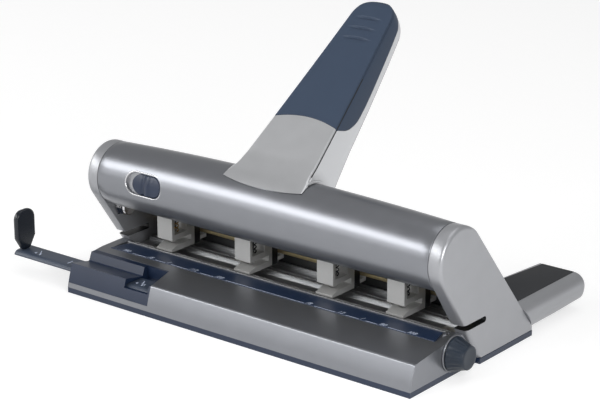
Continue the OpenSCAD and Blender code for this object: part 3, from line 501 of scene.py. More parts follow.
@dataclass
class Bar(Base):
    """The long barrel-topped housing."""

    wall: float = 2.2
    split_y: float = 44.0
    seam: float = 0.4
    lip_round: float = 0.6
    stations: int = 40
    steps: int = 48
    end_round: tuple[tuple[float, float], ...] = ((0.0, 0.35), (0.12, 0.12), (0.4, 0.0))

    def section(self, x: float, inset: float = 0.0) -> list[Vector]:
        """Closed ring of the housing at a place along it.

        Args:
            x: The place along the bar.
            inset: How far the outer skin is drawn in, for the rounded ends.

        Returns:
            The points, from the front lip over the top to the rear and back inside.
        """
        b = self.swell(x)
        r, zc = self.bar_r + b - inset, self.axis_z + b
        lip = math.pi - math.asin((self.lip_z + self.lip_round - zc) / r)
        outer = []
        for i in range(self.steps + 1):
            a = lip + (self.slope_norm - lip) * i / self.steps
            outer.append((r * math.cos(a), zc + r * math.sin(a)))
        end = (self.split_y, self.slope_at(self.split_y) - inset / math.sin(self.slope_norm))
        last = outer[-1]
        outer += [(last[0] + (end[0] - last[0]) * t, last[1] + (end[1] - last[1]) * t)
                  for t in (0.33, 0.66, 1.0)]
        ri = self.bar_r - self.wall
        lip_in = math.pi - math.asin((self.lip_z + self.lip_round - self.axis_z) / ri)
        inner = [(self.split_y, end[1] - self.wall / math.sin(self.slope_norm) + inset)]
        for i in range(self.steps // 2 + 1):
            a = self.slope_norm + (lip_in - self.slope_norm) * i / (self.steps // 2)
            inner.append((ri * math.cos(a), self.axis_z + ri * math.sin(a)))
        front = (outer[0][0] + 0.5, self.lip_z)
        rear = (inner[-1][0] - 0.4, self.lip_z)
        return [Vector((x, y, z)) for y, z in outer + inner + [rear, front]]

    def build(self, lock: "LockWindow") -> None:
        """Makes the housing with the hole for the lock window.

        Args:
            lock: The lock window that sits in the hole.
        """
        end = self.throat - self.seam
        rings = [self.section(back - end, inset) for back, inset in self.end_round]
        rings += [self.section(end * (2 * i / self.stations - 1)) for i in range(1, self.stations)]
        rings += [self.section(end - back, inset) for back, inset in reversed(self.end_round)]
        bm = Bench.carve(Bench.loft(rings), lock.hole())
        Bench.finish(bm, "bar_housing", PAINT.silver, "base", "silver", ["top_housing"], 40.0)


@dataclass
class Cheek(Base):
    """One end plate with its rounded rim and paper slot."""

    side: Side = Side.RIGHT
    rim: float = 3.2
    fine: float = 0.25
    lift: float = 0.05
    slot_low: float = 31.2
    slot_h: float = 4.6
    slot_deep: float = 33.5
    steps: int = 64
    inner_round: tuple[tuple[float, float], ...] = ((0.5, 0.0), (0.15, 0.15), (0.0, 0.5))

    def straight(self, start: Vector, end: Vector, norm: float, share: float, steps: int) -> list[RimPoint]:
        """Points along a straight edge, with both its ends.

        Args:
            start: Its first point.
            end: Its last point.
            norm: Angle of its outward normal.
            share: Share of the rim's rounding.
            steps: Number of stretches.

        Returns:
            The points with their inward direction and share.
        """
        u, v = -math.cos(norm), -math.sin(norm)
        return [(*start.lerp(end, i / steps), u, v, share) for i in range(steps + 1)]

    def on_round(self, a: float) -> Vector:
        """Point of the plate's round top at an angle."""
        return Vector((self.bar_r * math.cos(a), self.axis_z + self.bar_r * math.sin(a)))

    def outline(self) -> list[RimPoint]:
        """Works out the plate's outline from the front foot over the top to the back.

        Returns:
            The points with their inward direction and share of the rim's rounding.
        """
        toe, slope, fine, low = self.toe_norm, self.slope_norm, self.fine, self.tray_h + self.lift
        foot = Vector((self.toe_at(self.tray_h), self.tray_h))
        pts = self.straight(foot, self.on_round(toe), toe, 1.0, 10)[:-1]
        for i in range(self.steps + 1):
            a = toe + (slope - toe) * i / self.steps
            share = 1.0 - (1.0 - fine) * smooth_step(math.radians(75), math.radians(40), a)
            pts.append((*self.on_round(a), -math.cos(a), -math.sin(a), share))
        heel = Vector((self.back, self.slope_at(self.back)))
        pts += self.straight(self.on_round(slope), heel, slope, fine, 8)[1:]
        return pts + [(self.back, self.tray_h + 1.0, -1.0, 0.0, fine), (self.back, low, -0.7, 0.7, fine),
                      (foot.x + 2.0, low, 0.0, 1.0, fine)]

    def build(self) -> None:
        """Makes the plate, cuts the paper slot and finishes it."""
        pts = self.outline()
        rings = [[Vector((self.throat + x, y + u * inset, z + v * inset)) for y, z, u, v, _ in pts]
                 for inset, x in self.inner_round]
        for a in (math.pi / 2 * i / 8 for i in range(9)):
            back, inset = self.rim * (1 - math.sin(a)), self.rim * (1 - math.cos(a))
            rings.append([Vector((self.cheek_out - back * f, y + u * inset * f, z + v * inset * f))
                          for y, z, u, v, f in pts])
        bm = Bench.loft(rings)
        low, high, r = self.slot_low, self.slot_low + self.slot_h, self.slot_h / 2
        ends = [(self.slot_deep - r + r * math.sin(a), low + r - r * math.cos(a))
                for a in (math.pi * i / 16 for i in range(17))]
        past, front = 3.0, -12.0
        plan = [(front, low)] + ends + [(front, high)]
        cut = Bench.prism([(self.throat - past, y, z) for y, z in plan],
                          (self.cheek_out - self.throat + 2 * past, 0, 0))
        bm = Bench.carve(bm, cut)
        if self.side is Side.LEFT:
            Bench.mirror(bm)
        name = f"{self.side.word}_cheek"
        # The paper slot's walls get black paint as painted shade inside the slot.
        Bench.finish(bm, f"{name}_plate", PAINT.cast, "base", "silver_cast", [name], 36.0, inner=self.painted_slot_shade)

    def painted_slot_shade(self, face: bmesh.types.BMFace) -> bool:
        """Picks the walls of the paper slot, which get black paint as painted shade.

        Args:
            face: A face in metres.

        Returns:
            True if it lies inside the slot.
        """
        p, near = face.calc_center_median() * 1000, 0.1
        if abs(face.normal.x) > 0.5 or not self.throat < abs(p.x) < self.cheek_out:
            return False
        if not self.slot_low - near < p.z < self.slot_low + self.slot_h + near:
            return False
        return self.toe_at(p.z) + 4 * near < p.y < self.slot_deep + 2 * near


@dataclass
class Lever(Base):
    """The lever: painted shell with a flared foot, and the soft grip let into it."""

    angle: float = 37.32
    face_y: float = -10.57
    face_z: float = 111.52
    length: float = 181.7
    wide: float = 34.4
    slim: float = 18.6
    bow: float = 3.71
    tip: float = 8.0
    skirt_r: float = 27.35
    swing: float = 26.0
    flare: float = 2.6
    flare_high: float = 4.5
    crown: float = 0.45
    edge_r: float = 0.9
    side_bulge: float = 0.7
    seam_gap: float = 0.42
    seam_deep: float = 0.95
    rear_r: float = 2.6
    droop: float = 4.6
    grip_start: float = 65.0
    grip_arc: float = 86.6
    recess: float = 1.5
    pad_deep: float = 1.3
    pad_rise: float = 0.12
    pad_gap: float = 0.3
    face_points: int = 9
    brim_point: int = 20
    grooves: tuple[float, ...] = (163.5, 153.5, 143.5)
    groove_deep: float = 1.5
    under: tuple[tuple[float, float], ...] = (
        (-30, 34.5), (30, 34.6), (34, 33.8), (60, 30.3), (100, 27.2), (140, 23.0), (158, 20.6), (165.3, 19.4),
        (171, 17.2), (176, 14.0), (179, 10.8), (180.8, 8.0), (181.7, 5.6))
    crest: tuple[tuple[float, float], ...] = (
        (-6.5, 3.3), (-4.0, 3.25), (-1.8, 3.05), (2, 2.5), (8, 1.4), (18, 0.5), (24, 0.2))
    brim: tuple[tuple[float, float], ...] = (
        (59.5, 1.3), (61.3, 3.4), (63.7, 6.8), (66.2, 10.0), (69.0, 12.8), (71.6, 14.8), (74.3, 16.3),
        (78.3, 18.1), (82.5, 19.4), (88.0, 20.0), (97.0, 20.1), (112.0, 19.3), (132.0, 17.6), (153.0, 15.6),
        (167.0, 13.6), (176.0, 9.6), (181.7, 5.0))

    def place(self, x: float, s: float, h: float) -> Vector:
        """Lays a point of the lever in space.

        Args:
            x: Side place.
            s: Length along the lever.
            h: Height over its face.

        Returns:
            The point.
        """
        a = math.radians(self.angle)
        return Vector((x, self.face_y + s * math.cos(a) - h * math.sin(a),
                       self.face_z + s * math.sin(a) + h * math.cos(a)))

    def measure(self, p: Vector) -> tuple[float, float]:
        """Measures a point along the lever.

        Args:
            p: The point in millimetres.

        Returns:
            Length along the lever and height over its face.
        """
        a = math.radians(self.angle)
        y, z = p.y - self.face_y, p.z - self.face_z
        return y * math.cos(a) + z * math.sin(a), z * math.cos(a) - y * math.sin(a)

    def half_at(self, s: float) -> float:
        """Half width of the lever.

        Args:
            s: Length along the lever.

        Returns:
            The half width, which closes in an arc at the tip.
        """
        first, knee = 6.0, self.length - 14.0
        straight = self.wide + (self.slim - self.wide) * (s - first) / (knee - first)
        t = min(max((s - knee + 4.0) / (self.length - knee + 4.0), 0.0), 1.0)
        return straight * (1.0 - t ** 2.5) ** 0.5

    def top(self, s: float) -> float:
        """Height of the face line.

        Args:
            s: Length along the lever.

        Returns:
            The height, with the crest at the foot and the drop at the tip.
        """
        rise = self.bow * (max(s, 0.0) / self.length) ** 2
        if s < self.crest[-1][0]:
            rise += along(self.crest, s)
        past = (s - self.length + self.tip) / self.tip
        if past <= 0.0:
            return rise
        return rise - (self.bow + 0.5) * (1.0 - math.sqrt(max(1.0 - past ** 2, 0.0)))

    def half_section(self, s: float) -> list[tuple[float, float]]:
        """Half of a section from the middle of the face down to the middle of the underside.

        Args:
            s: Length along the lever.

        Returns:
            Pairs of side place and height.
        """
        w, top, low = self.half_at(s), self.top(s), -along(self.under, s)
        share, span = min(w / 8.0, 1.0), top - low
        c = self.edge_r * share
        pts = [(u * (w - c), top + self.crown * share * (1 - u * u))
               for u in (0.0, 0.18, 0.36, 0.52, 0.66, 0.78, 0.88, 0.95, 1.0)]
        pts += [(w - c + c * math.sin(a), top - c + c * math.cos(a)) for a in map(math.radians, (30, 60, 90))]

        def side(depth: float, sink: float = 0.0) -> tuple[float, float]:
            """Point on the side at a depth under the face."""
            bulge = self.side_bulge * share * math.sin(math.pi * min(depth / span, 1.0))
            return w - sink * share + bulge, top - depth

        first = c + 0.3 * share
        brim = min(max(along(self.brim, s), 2.75), span * 0.72)
        gap = min(self.seam_gap, (brim - first) / 3.6)
        pts += [side(first), side(first + gap, self.seam_deep), side(first + 2 * gap, self.seam_deep)]
        first += 3 * gap
        pts += [side(first + (brim - first) * t) for t in (0.0, 0.15, 0.4, 0.65, 0.88, 1.0)]
        r = min(self.rear_r, w * 0.4, span * 0.16)
        pts += [side(brim + (span - r - brim) * t) for t in (0.1, 0.3, 0.55, 0.8, 1.0)]
        pts += [(w - r + r * math.cos(a), low + r - r * math.sin(a))
                for a in map(math.radians, (12, 30, 60, 90))]
        return pts + [((w - r) * u, low) for u in (0.75, 0.5, 0.25, 0.0)]

    def painted_seam_shade(self, face: bmesh.types.BMFace) -> bool:
        """Picks the faces that get black paint as painted shade in the lever's seams.

        Args:
            face: A face in metres.

        Returns:
            True in the groove under the lever's face and in the seam of its rear edge.
        """
        mid = face.calc_center_median() * 1000.0
        s, h = self.measure(mid)
        if not 1.0 < s < self.length - 4.0:
            return False
        inside, share = self.half_at(s) - abs(mid.x), min(self.half_at(s) / 8.0, 1.0)
        depth, rise = self.top(s) - h, h + along(self.under, s)
        # Painted shade: the groove under the face and the underside of the rear edge get black paint.
        groove = 1.25 * share < depth < 2.45 * share and inside > 0.2
        seam = 0.35 < rise < 2.0 and 0.0 < inside < 2.3
        return groove or seam

    def rows(self) -> list[float]:
        """Works out where a section is drawn, closer at the grooves and at the tip.

        Returns:
            The lengths along the lever.
        """
        rows = [-1.8, -1.0, 0.0, 1.5, 3.0, 5.0, 8.0, 12.0, 16.0, 20.0]
        rows += [24.0 + 4.0 * i for i in range(9)] + [60.0, 63.0, self.grip_start]
        s = self.grip_start + 1.0
        while s < self.length - 2 * self.tip:
            near = min(abs(s - g) for g in self.grooves)
            rows.append(s)
            s += 0.4 if near < 2.2 else (1.0 if near < 4.0 else 2.6)
        knee = rows[-1]
        return rows + [knee + (self.length - knee) * math.sin(math.pi / 2 * i / 22) for i in range(1, 23)]

    def flare_at(self, reach: float) -> float:
        """How far the foot's skin stands out at a distance from the round of the bar."""
        return self.flare * max(1.0 - max(reach, 0.0) / self.flare_high, 0.0) ** 1.8

    def groove_at(self, s: float, x: float, w: float) -> float:
        """Depth of the short grooves of the grip at a place on the face.

        Args:
            s: Length along the lever.
            x: Side place.
            w: Half width of the lever there.

        Returns:
            The depth in millimetres.
        """
        fade = 1.0 - smooth_step(0.2, 0.68, abs(x + 1.0) / max(w, 1e-6))
        dents = (math.exp(-((s - g) / (0.55 if s > g else 1.7)) ** 2) for g in self.grooves)
        return self.groove_deep * fade * sum(dents)

    def ring(self, s: float) -> list[Vector]:
        """Closed ring of the lever, bent as the grip's lower edge is.

        Args:
            s: Length along the lever.

        Returns:
            The points, round from the middle of the face and back to it.
        """
        half = self.half_section(s)
        count, middle = len(half), self.half_at(s)
        bend = smooth_step(28.0, 58.0, s) * (1.0 - smooth_step(self.length - 22.0, self.length - 6.0, s))
        hang = self.droop * (1.0 - smooth_step(-1.8, 9.0, s))
        ring = []
        for i in range(2 * count - 2):
            k = i if i < count else 2 * count - 2 - i
            across = half[k][0]
            place = s - bend * (self.grip_arc - math.sqrt(self.grip_arc ** 2 - min(across, middle) ** 2))
            if k <= self.face_points + 3:
                place -= hang * (1.0 - (across / max(middle, 0.01)) ** 2)
            x, h = self.half_section(place)[k]
            x, w = math.copysign(x, count - 0.5 - i), self.half_at(place)
            groove = self.groove_at(s, x, w) if k < self.face_points else 0.0
            p = self.place(x, place, h - groove)
            if s < 45:
                reach = math.hypot(p.y, p.z - self.axis_z - self.bulge) - self.skirt_r
                p.x += self.flare_at(reach) * x / max(w, 1e-6)
            ring.append(p)
        return ring

    def collar(self, side: Side) -> bmesh.types.BMesh:
        """The thin raised rim along one side of the foot, where it meets the bar.

        Args:
            side: The end of the punch that it faces.

        Returns:
            The closed mesh.
        """
        pivot_s, pivot_h = self.measure(Vector((0, 0, self.axis_z + self.bulge)))
        first = math.radians(-19.0)
        last = self.slope_norm + math.radians(self.swing + self.angle) - math.pi
        rings, steps = [], 40
        for i in range(steps + 1):
            a = first + (last - first) * i / steps
            girth = 0.2 + 0.7 * smooth_step(0.0, 10.0, i) * (1.0 - smooth_step(33.0, 40.0, i))
            lift = 0.3 + 0.85 * smooth_step(0.0, 8.0, i)
            ring = []
            for turn in (math.tau * k / 12 for k in range(12)):
                r = self.skirt_r + lift + girth * math.sin(turn)
                s, h = pivot_s + r * math.sin(-a), pivot_h + r * math.cos(a)
                out = self.half_at(max(s, 0.0)) + self.flare_at(lift) + girth * math.cos(turn)
                ring.append(self.place(side.value * out, s, h))
            rings.append(ring)
        return Bench.loft(rings)

    def body(self) -> bmesh.types.BMesh:
        """The whole lever as one closed form, before the foot is cut."""
        return Bench.loft([self.ring(s) for s in self.rows()])

    def grip_faces(self, bm: bmesh.types.BMesh) -> list[bmesh.types.BMFace]:
        """Finds the soft grip on the lever's form.

        Args:
            bm: The whole form, as body makes it.

        Returns:
            The faces that belong to the grip.
        """
        row, slot = bm.verts.layers.int["row"], bm.verts.layers.int["slot"]
        first, count = self.rows().index(self.grip_start), len(self.ring(self.grip_start))
        return [f for f in bm.faces
                if all(v[row] >= first for v in f.verts)
                and all(v[slot] <= self.brim_point or v[slot] >= count - self.brim_point for v in f.verts)]

    def foot_cutters(self) -> list[bmesh.types.BMesh]:
        """Makes what the lever's foot is cut by.

        Returns:
            The round of the bar and the clearance behind it.
        """
        pivot, wide, r = self.axis_z + self.bulge, 120.0, self.skirt_r
        drum = bmesh.new()
        bmesh.ops.create_cone(drum, cap_ends=True, segments=192, radius1=r, radius2=r, depth=wide)
        bmesh.ops.rotate(drum, matrix=Matrix.Rotation(math.pi / 2, 3, "Y"), verts=drum.verts[:])
        bmesh.ops.translate(drum, vec=(0, 0, pivot), verts=drum.verts[:])
        turn = Matrix.Rotation(self.slope_norm + math.radians(self.swing) - math.pi / 2, 3, "X")
        corner = Vector((-wide / 2, 0, pivot))
        plan = ((0, -30), (160, -30), (160, r), (0, r))
        wedge = Bench.prism([corner + turn @ Vector((0, y, z)) for y, z in plan], (wide, 0, 0))
        return [drum, wedge]

    def build(self) -> None:
        """Makes the shell with the recess of the grip, the grip in it and the rims of the foot."""
        coat = PAINT.lever_silver
        # The groove and the rear seam of the shell and the grip get black paint as painted shade.
        Bench.finish(self.shell(), "lever_shell_skin", coat, "lever", "silver", ["lever_shell"], 38.0,
                     inner=self.painted_seam_shade)
        for side in (Side.RIGHT, Side.LEFT):
            name = f"lever_collar_{side.word}"
            Bench.finish(self.collar(side), name, coat, "lever", "silver", degrees=50.0)
        Bench.finish(self.pad(), "lever_soft_grip", PAINT.grip, "lever", "grip", ["lever_grip"], 45.0,
                     inner=self.painted_seam_shade)

    def shell(self) -> bmesh.types.BMesh:
        """Makes the painted shell.

        Returns:
            The mesh, sunk where the grip lies and cut to the bar's round.
        """
        shell = self.body()
        soft = self.grip_faces(shell)
        grown = bmesh.ops.extrude_face_region(shell, geom=soft)["geom"]
        bmesh.ops.delete(shell, geom=soft, context="FACES")
        shell.normal_update()
        for v, n in [(g, g.normal.copy()) for g in grown if isinstance(g, bmesh.types.BMVert)]:
            v.co -= n * self.recess
        for tool in self.foot_cutters():
            shell = Bench.carve(shell, tool)
        return shell

    def pad(self) -> bmesh.types.BMesh:
        """Makes the soft grip.

        Returns:
            The mesh, a thick skin with a narrow gap round it.
        """
        pad = self.body()
        soft = set(self.grip_faces(pad))
        bmesh.ops.delete(pad, geom=[f for f in pad.faces if f not in soft], context="FACES")
        rim = bmesh.ops.inset_region(pad, faces=pad.faces[:], thickness=self.pad_gap, use_boundary=True,
                                     use_even_offset=True)
        bmesh.ops.delete(pad, geom=rim["faces"], context="FACES")
        grown = bmesh.ops.extrude_face_region(pad, geom=pad.faces[:])["geom"]
        pad.normal_update()
        upper = {g for g in grown if isinstance(g, bmesh.types.BMVert)}
        lower = [v for v in pad.verts if v not in upper]
        for v, n in [(v, v.normal.copy()) for v in upper]:
            v.co += n * self.pad_rise
        pad.normal_update()
        bmesh.ops.recalc_face_normals(pad, faces=pad.faces[:])
        for v in lower:
            v.co -= self.outward(v.co) * self.pad_deep
        return Bench.soften(pad, self.pad_gap, 2, 50.0)

    def outward(self, p: Vector) -> Vector:
        """Direction out of the lever.

        Args:
            p: A point of its skin.

        Returns:
            The direction, to the side on the sides and off the face elsewhere.
        """
        s, h = self.measure(p)
        if abs(p.x) > self.half_at(s) - 1.2 and h < self.top(s) - 0.5:
            return Vector((math.copysign(1.0, p.x), 0, 0))
        a = math.radians(self.angle)
        return Vector((0, -math.sin(a), math.cos(a)))


@dataclass
class LockWindow(Base):
    """The silver rim of the lock window and its navy slider."""

    x: float = -108.0
    long: float = 38.0
    high: float = 20.0
    tilt: float = 10.0
    travel: float = 6.0
    gap: float = 1.6
    shoulder: float = 0.8
    floor: float = -2.2

    def wrap(self, u: float, v: float, h: float) -> Vector:
        """Lays a point of the flat window on the round of the bar.

        Args:
            u: Place along the bar, from the window's middle.
            v: Place up the round.
            h: Height over the skin.

        Returns:
            The point.
        """
        b = self.swell(self.x)
        r, zc = self.bar_r + b, self.axis_z + b
        a = math.pi - math.radians(self.tilt) - v / r
        return Vector((self.x + u, (r + h) * math.cos(a), zc + (r + h) * math.sin(a)))

    def pill(self, grow: float, shift: float = 0.0, shorter: float = 0.0) -> list[tuple[float, float]]:
        """Outline of the window or of the slider in it.

        Args:
            grow: How far it stands out past the window's rim.
            shift: How far it is moved along the bar.
            shorter: How much shorter it is than the window.

        Returns:
            Points along the bar and up its round.
        """
        r = self.high / 2 + grow
        run = (self.long - self.high - shorter) / 2
        pts = []
        for side in (1, -1):
            for i in range(17):
                a = math.radians(-90 + 180 * i / 16)
                pts.append((side * (run + r * math.cos(a)) + shift, side * r * math.sin(a)))
        return pts

    def hole(self) -> bmesh.types.BMesh:
        """Cutter for the opening in the housing, hidden under the rim."""
        pts = self.pill(-1.2)
        return Bench.loft([[self.wrap(u, v, h) for u, v in pts] for h in (-8.0, 4.0)])

    def build(self) -> None:
        """Makes the rim, the dark well behind it and the slider with its ridge."""
        rim = ((0.0, -0.4), (0.0, 0.12), (-0.25, 0.3), (-0.6, 0.32), (-0.95, 0.1), (-1.15, -0.4),
               (-1.25, -2.4), (-0.9, -2.4), (-0.7, -0.6))
        rings = [[self.wrap(u, v, h) for u, v in self.pill(g)] for g, h in rim]
        bm = Bench.loft(rings + [rings[0]], caps=False)
        Bench.finish(bm, "lock_rim", PAINT.bright, "base", "silver", ["lock_bezel"], 50.0)
        well = Bench.loft([[self.wrap(u, v, h) for u, v in self.pill(g)] for g, h in
                           ((-1.2, self.floor), (-1.3, self.floor - 1.0), (-9.9, self.floor - 1.0))])
        Bench.finish(well, "lock_well", PAINT.cast, "base", "silver_cast")
        bm = Bench.join([self.button_side(), self.button_face()])
        bmesh.ops.recalc_face_normals(bm, faces=bm.faces[:])
        Bench.finish(bm, "lock_button", PAINT.navy, "lock", "navy", ["lock_slider"], 50.0)

    def button_side(self) -> bmesh.types.BMesh:
        """Makes the slider's wall and its rounded shoulder.

        Returns:
            The mesh, open at the top.
        """
        middle = self.travel / 2
        rings = [[self.wrap(u, v, self.floor) for u, v in self.pill(-self.gap, middle, self.travel)]]
        for inset in (0.0, 0.25, self.shoulder):
            rings.append([self.wrap(u, v, self.relief(u - middle, inset)) for u, v in
                          self.pill(-self.gap - inset, middle, self.travel)])
        return Bench.loft(rings, caps=False)

    def button_face(self) -> bmesh.types.BMesh:
        """Makes the slider's face with its valley and ridge.

        Returns:
            The mesh, open at its edge.
        """
        run, r = (self.long - self.high - self.travel) / 2, self.high / 2 - self.gap - self.shoulder
        rows, count = [], 40
        for i in range(count + 1):
            u = -(run + r) + 2 * (run + r) * i / count
            over = max(abs(u) - run, 0.0)
            half = math.sqrt(max(r * r - over * over, 0.0))
            rows.append([self.wrap(u + self.travel / 2, half * w / 8, self.relief(u, self.shoulder))
                         for w in range(-8, 9)])
        return Bench.loft(rows, closed=False, caps=False)

    def relief(self, u: float, inset: float) -> float:
        """Height of the slider's face at a place along it: a valley, then a ridge.

        Args:
            u: The place, from the slider's middle.
            inset: How far in from the slider's wall.

        Returns:
            The height over the bar's skin.
        """
        edge = {0.0: -0.6, 0.25: -0.1}.get(inset, 0.1)
        if inset < self.shoulder:
            return edge
        return edge - 0.75 * math.exp(-((u + 3.4) / 1.7) ** 2) + 0.95 * math.exp(-((u - 1.0) / 2.4) ** 2)


@dataclass
class Springs(Base):
    """The coils on the punch pins and on the two press rods."""

    units: tuple[float, ...] = (-120.0, -40.0, 40.0, 105.0)
    pin_y: float = 21.0
    rod_x: float = 147.5
    wire: float = 1.1

    @staticmethod
    def tube(path: Sequence[Vector], wire: float, sides: int = 10) -> bmesh.types.BMesh:
        """Sweeps a round wire along a path.

        Args:
            path: The points that the wire follows.
            wire: Its diameter.
            sides: Number of sides of the wire.

        Returns:
            The closed mesh.
        """
        rings, normal = [], None
        for i, p in enumerate(path):
            ahead = path[min(i + 1, len(path) - 1)] - path[max(i - 1, 0)]
            ahead.normalize()
            if normal is None:
                normal = ahead.orthogonal().normalized()
            normal = (normal - ahead * normal.dot(ahead)).normalized()
            across = ahead.cross(normal)
            rings.append([p + wire / 2 * (normal * math.cos(a) + across * math.sin(a))
                          for a in [2 * math.pi * j / sides for j in range(sides)]])
        return Bench.loft(rings)

    @staticmethod
    def coil(turns: float, r: float, z0: float, z1: float, per_turn: int = 24) -> list[Vector]:
        """Points of a coil that rises from one height to another.

        Args:
            turns: Number of turns.
            r: Radius to the middle of the wire.
            z0: Height of its lower end.
            z1: Height of its upper end.
            per_turn: Points on each turn.

        Returns:
            The points along the wire.
        """
        count = int(turns * per_turn)
        return [Vector((r * math.cos(2 * math.pi * i / per_turn), r * math.sin(2 * math.pi * i / per_turn),
                        z0 + (z1 - z0) * i / count)) for i in range(count + 1)]

    def build(self) -> None:
        """Makes all coils and sets each on its body with a mesh of its own."""
        for k, x in enumerate(self.units, 1):
            path = [p + Vector((x, self.pin_y, 0)) for p in self.coil(4.25, 4.1, 40.8, 55.4)]
            paint, slot = (PAINT.brassy, "brassy") if k == 1 else (PAINT.dark_wire, "dark_steel")
            piece = Bench.finish(self.tube(path, self.wire), f"pin_coil_{k}", paint, f"punch_unit_{k}", slot,
                                 [f"pin_spring_{k}"], 60.0)
            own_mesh(piece)
        for side in Side:
            x = side.value * self.rod_x
            path = [p + Vector((x, self.pin_y, 0)) for p in self.coil(4.5, 4.15, 67.8, 85.8)]
            piece = Bench.finish(self.tube(path, self.wire), f"return_coil_{side.word}", PAINT.chrome, "base",
                                 "chrome", ["return_coils"], 60.0)
            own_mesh(piece)


@dataclass
class Knob(Base):
    """The fluted knob at the right end."""

    y: float = -3.0
    z: float = 17.5
    big: float = 13.0
    small: float = 8.6
    long: float = 13.0
    gap: float = 1.95
    flutes: int = 18
    flute_deep: float = 0.55
    steps: int = 144

    def build(self) -> None:
        """Makes the tapered body with its flutes and a rounded end."""
        x0 = self.half + self.gap
        long, big, small = self.long, self.big, self.small
        shapes = [(0.0, big - 0.6, 0.0), (0.3, big, 0.0), (0.9, big, 0.0), (1.4, big - 0.1, 0.5)]
        waves = ((0.3, 1.0), (0.5, 0.9), (0.68, 0.6), (0.8, 0.15), (1.0 - 1.3 / long, 0.0))
        shapes += [(long * u, big + (small - big) * u, flute) for u, flute in waves]
        shapes += [(long - 0.5, small + 0.35, 0.0), (long - 0.1, small - 0.5, 0.0), (long, small - 1.4, 0.0),
                   (long - 0.25, small * 0.6, 0.0), (long - 0.3, 0.4, 0.0)]
        rings = []
        for x, r, flute in shapes:
            ring = []
            for a in (math.tau * i / self.steps for i in range(self.steps)):
                dip = flute * self.flute_deep * (0.5 + 0.5 * math.cos(self.flutes * a)) ** 1.5
                reach = r - dip
                ring.append(Vector((x0 + x, self.y + reach * math.cos(a), self.z + reach * math.sin(a))))
            rings.append(ring)
        Bench.finish(Bench.loft(rings), "knob_body", PAINT.navy_deep, "knob", "navy", ["depth_knob"], 42.0)


@dataclass
class Foot(Base):
    """One rear foot: a silver body with a rounded outer side and a dark flat top."""

    side: Side = Side.RIGHT
    near: float = 120.0
    slant: float = 9.7
    flat: float = 161.5
    round: float = 9.3
    top: float = 28.0
    end: float = 168.5
    low: float = 3.0
    rise: float = 6.0
    rim: float = 1.1

    def front_at(self, z: float) -> float:
        """Place at which the foot leaves the sloping back.

        Args:
            z: The height.

        Returns:
            The place, a hair behind the skin.
        """
        if z <= self.slope_z:
            return self.slope_y + 0.05
        return (self.bar_r + (self.axis_z - z) * math.sin(self.slope_norm)) / math.cos(self.slope_norm) + 0.1

    def section(self, share: float, cut: float = 0.0) -> list[Vector]:
        """Closed ring of the foot at a share of its length.

        Args:
            share: 0 at the sloping back, 1 at the end.
            cut: How far the skin is drawn in, for the rounded end.

        Returns:
            The points, from the inner side over the top and round to the underside.
        """
        near, low, top = self.near + self.slant * share, self.low + self.rise * share, self.top
        axis_z, steps = top - self.round, 12
        belly = axis_z - 4.5
        pts = [(near, low + 0.6), (near, top - 1.0), (near + 0.3, top - 0.3), (near + 1.0, top)]
        pts += [(near + (self.flat - near) * u, top) for u in (0.25, 0.5, 0.75, 0.97)]
        for i in range(-steps, steps + 1):
            a = math.pi / 2 * i / steps
            drop = (self.round if i < 0 else belly) * math.sin(a)
            pts.append((self.flat + self.round * math.cos(a), max(axis_z - drop, low)))
        pts += [(near + (self.flat - near) * u, low) for u in (0.7, 0.35)] + [(near + 0.6, low)]
        mid_x, mid_z = (near + self.flat) / 2, (top + low) / 2
        wide, high = self.flat + self.round - mid_x, top - mid_z
        ring = []
        for x, z in pts:
            x -= cut * max(min((x - mid_x) / wide * 1.6, 1.0), -1.0)
            z -= cut * max(min((z - mid_z) / high * 1.2, 1.0), -1.0)
            front = self.front_at(z)
            ring.append(Vector((x, front + (self.end - front) * share, z)))
        return ring

    def build(self) -> None:
        """Makes the body and its dark top."""
        rings = [self.section(t) for t in (0.0, 0.02, 0.2, 0.4, 0.6, 0.8, 0.95)]
        length = self.end - self.slope_y
        for a in (math.pi / 2 * i / 6 for i in range(7)):
            back, cut = self.rim * (1 - math.sin(a)), self.rim * (1 - math.cos(a))
            rings.append(self.section(1.0 - back / length, cut))
        body = Bench.loft(rings)
        first, last = self.front_at(self.top) + 0.3, self.end - self.rim
        rings = []
        for y, lift in ((first, 0.05), (first + 0.4, 0.3), (last - 0.5, 0.3), (last - 0.1, 0.2), (last, 0.0)):
            near = self.near + self.slant * (y - first) / length + 1.0
            edge = self.flat - 0.4
            outline = ((near, -0.5), (near, lift * 0.4), (near + 0.3, lift), (edge - 0.3, lift),
                       (edge, lift * 0.4), (edge, -0.5))
            rings.append([Vector((x, y, self.top + z)) for x, z in outline])
        cap = Bench.loft(rings)
        if self.side is Side.LEFT:
            Bench.mirror(body)
            Bench.mirror(cap)
        name, cap_name = f"foot_{self.side.word}", f"foot_cap_{self.side.word}"
        Bench.finish(body, f"{name}_body", PAINT.cast, "base", "silver_cast", [name], 45.0)
        Bench.finish(cap, f"{cap_name}_top", PAINT.foot_top, "base", "foot_top", [cap_name], 40.0)


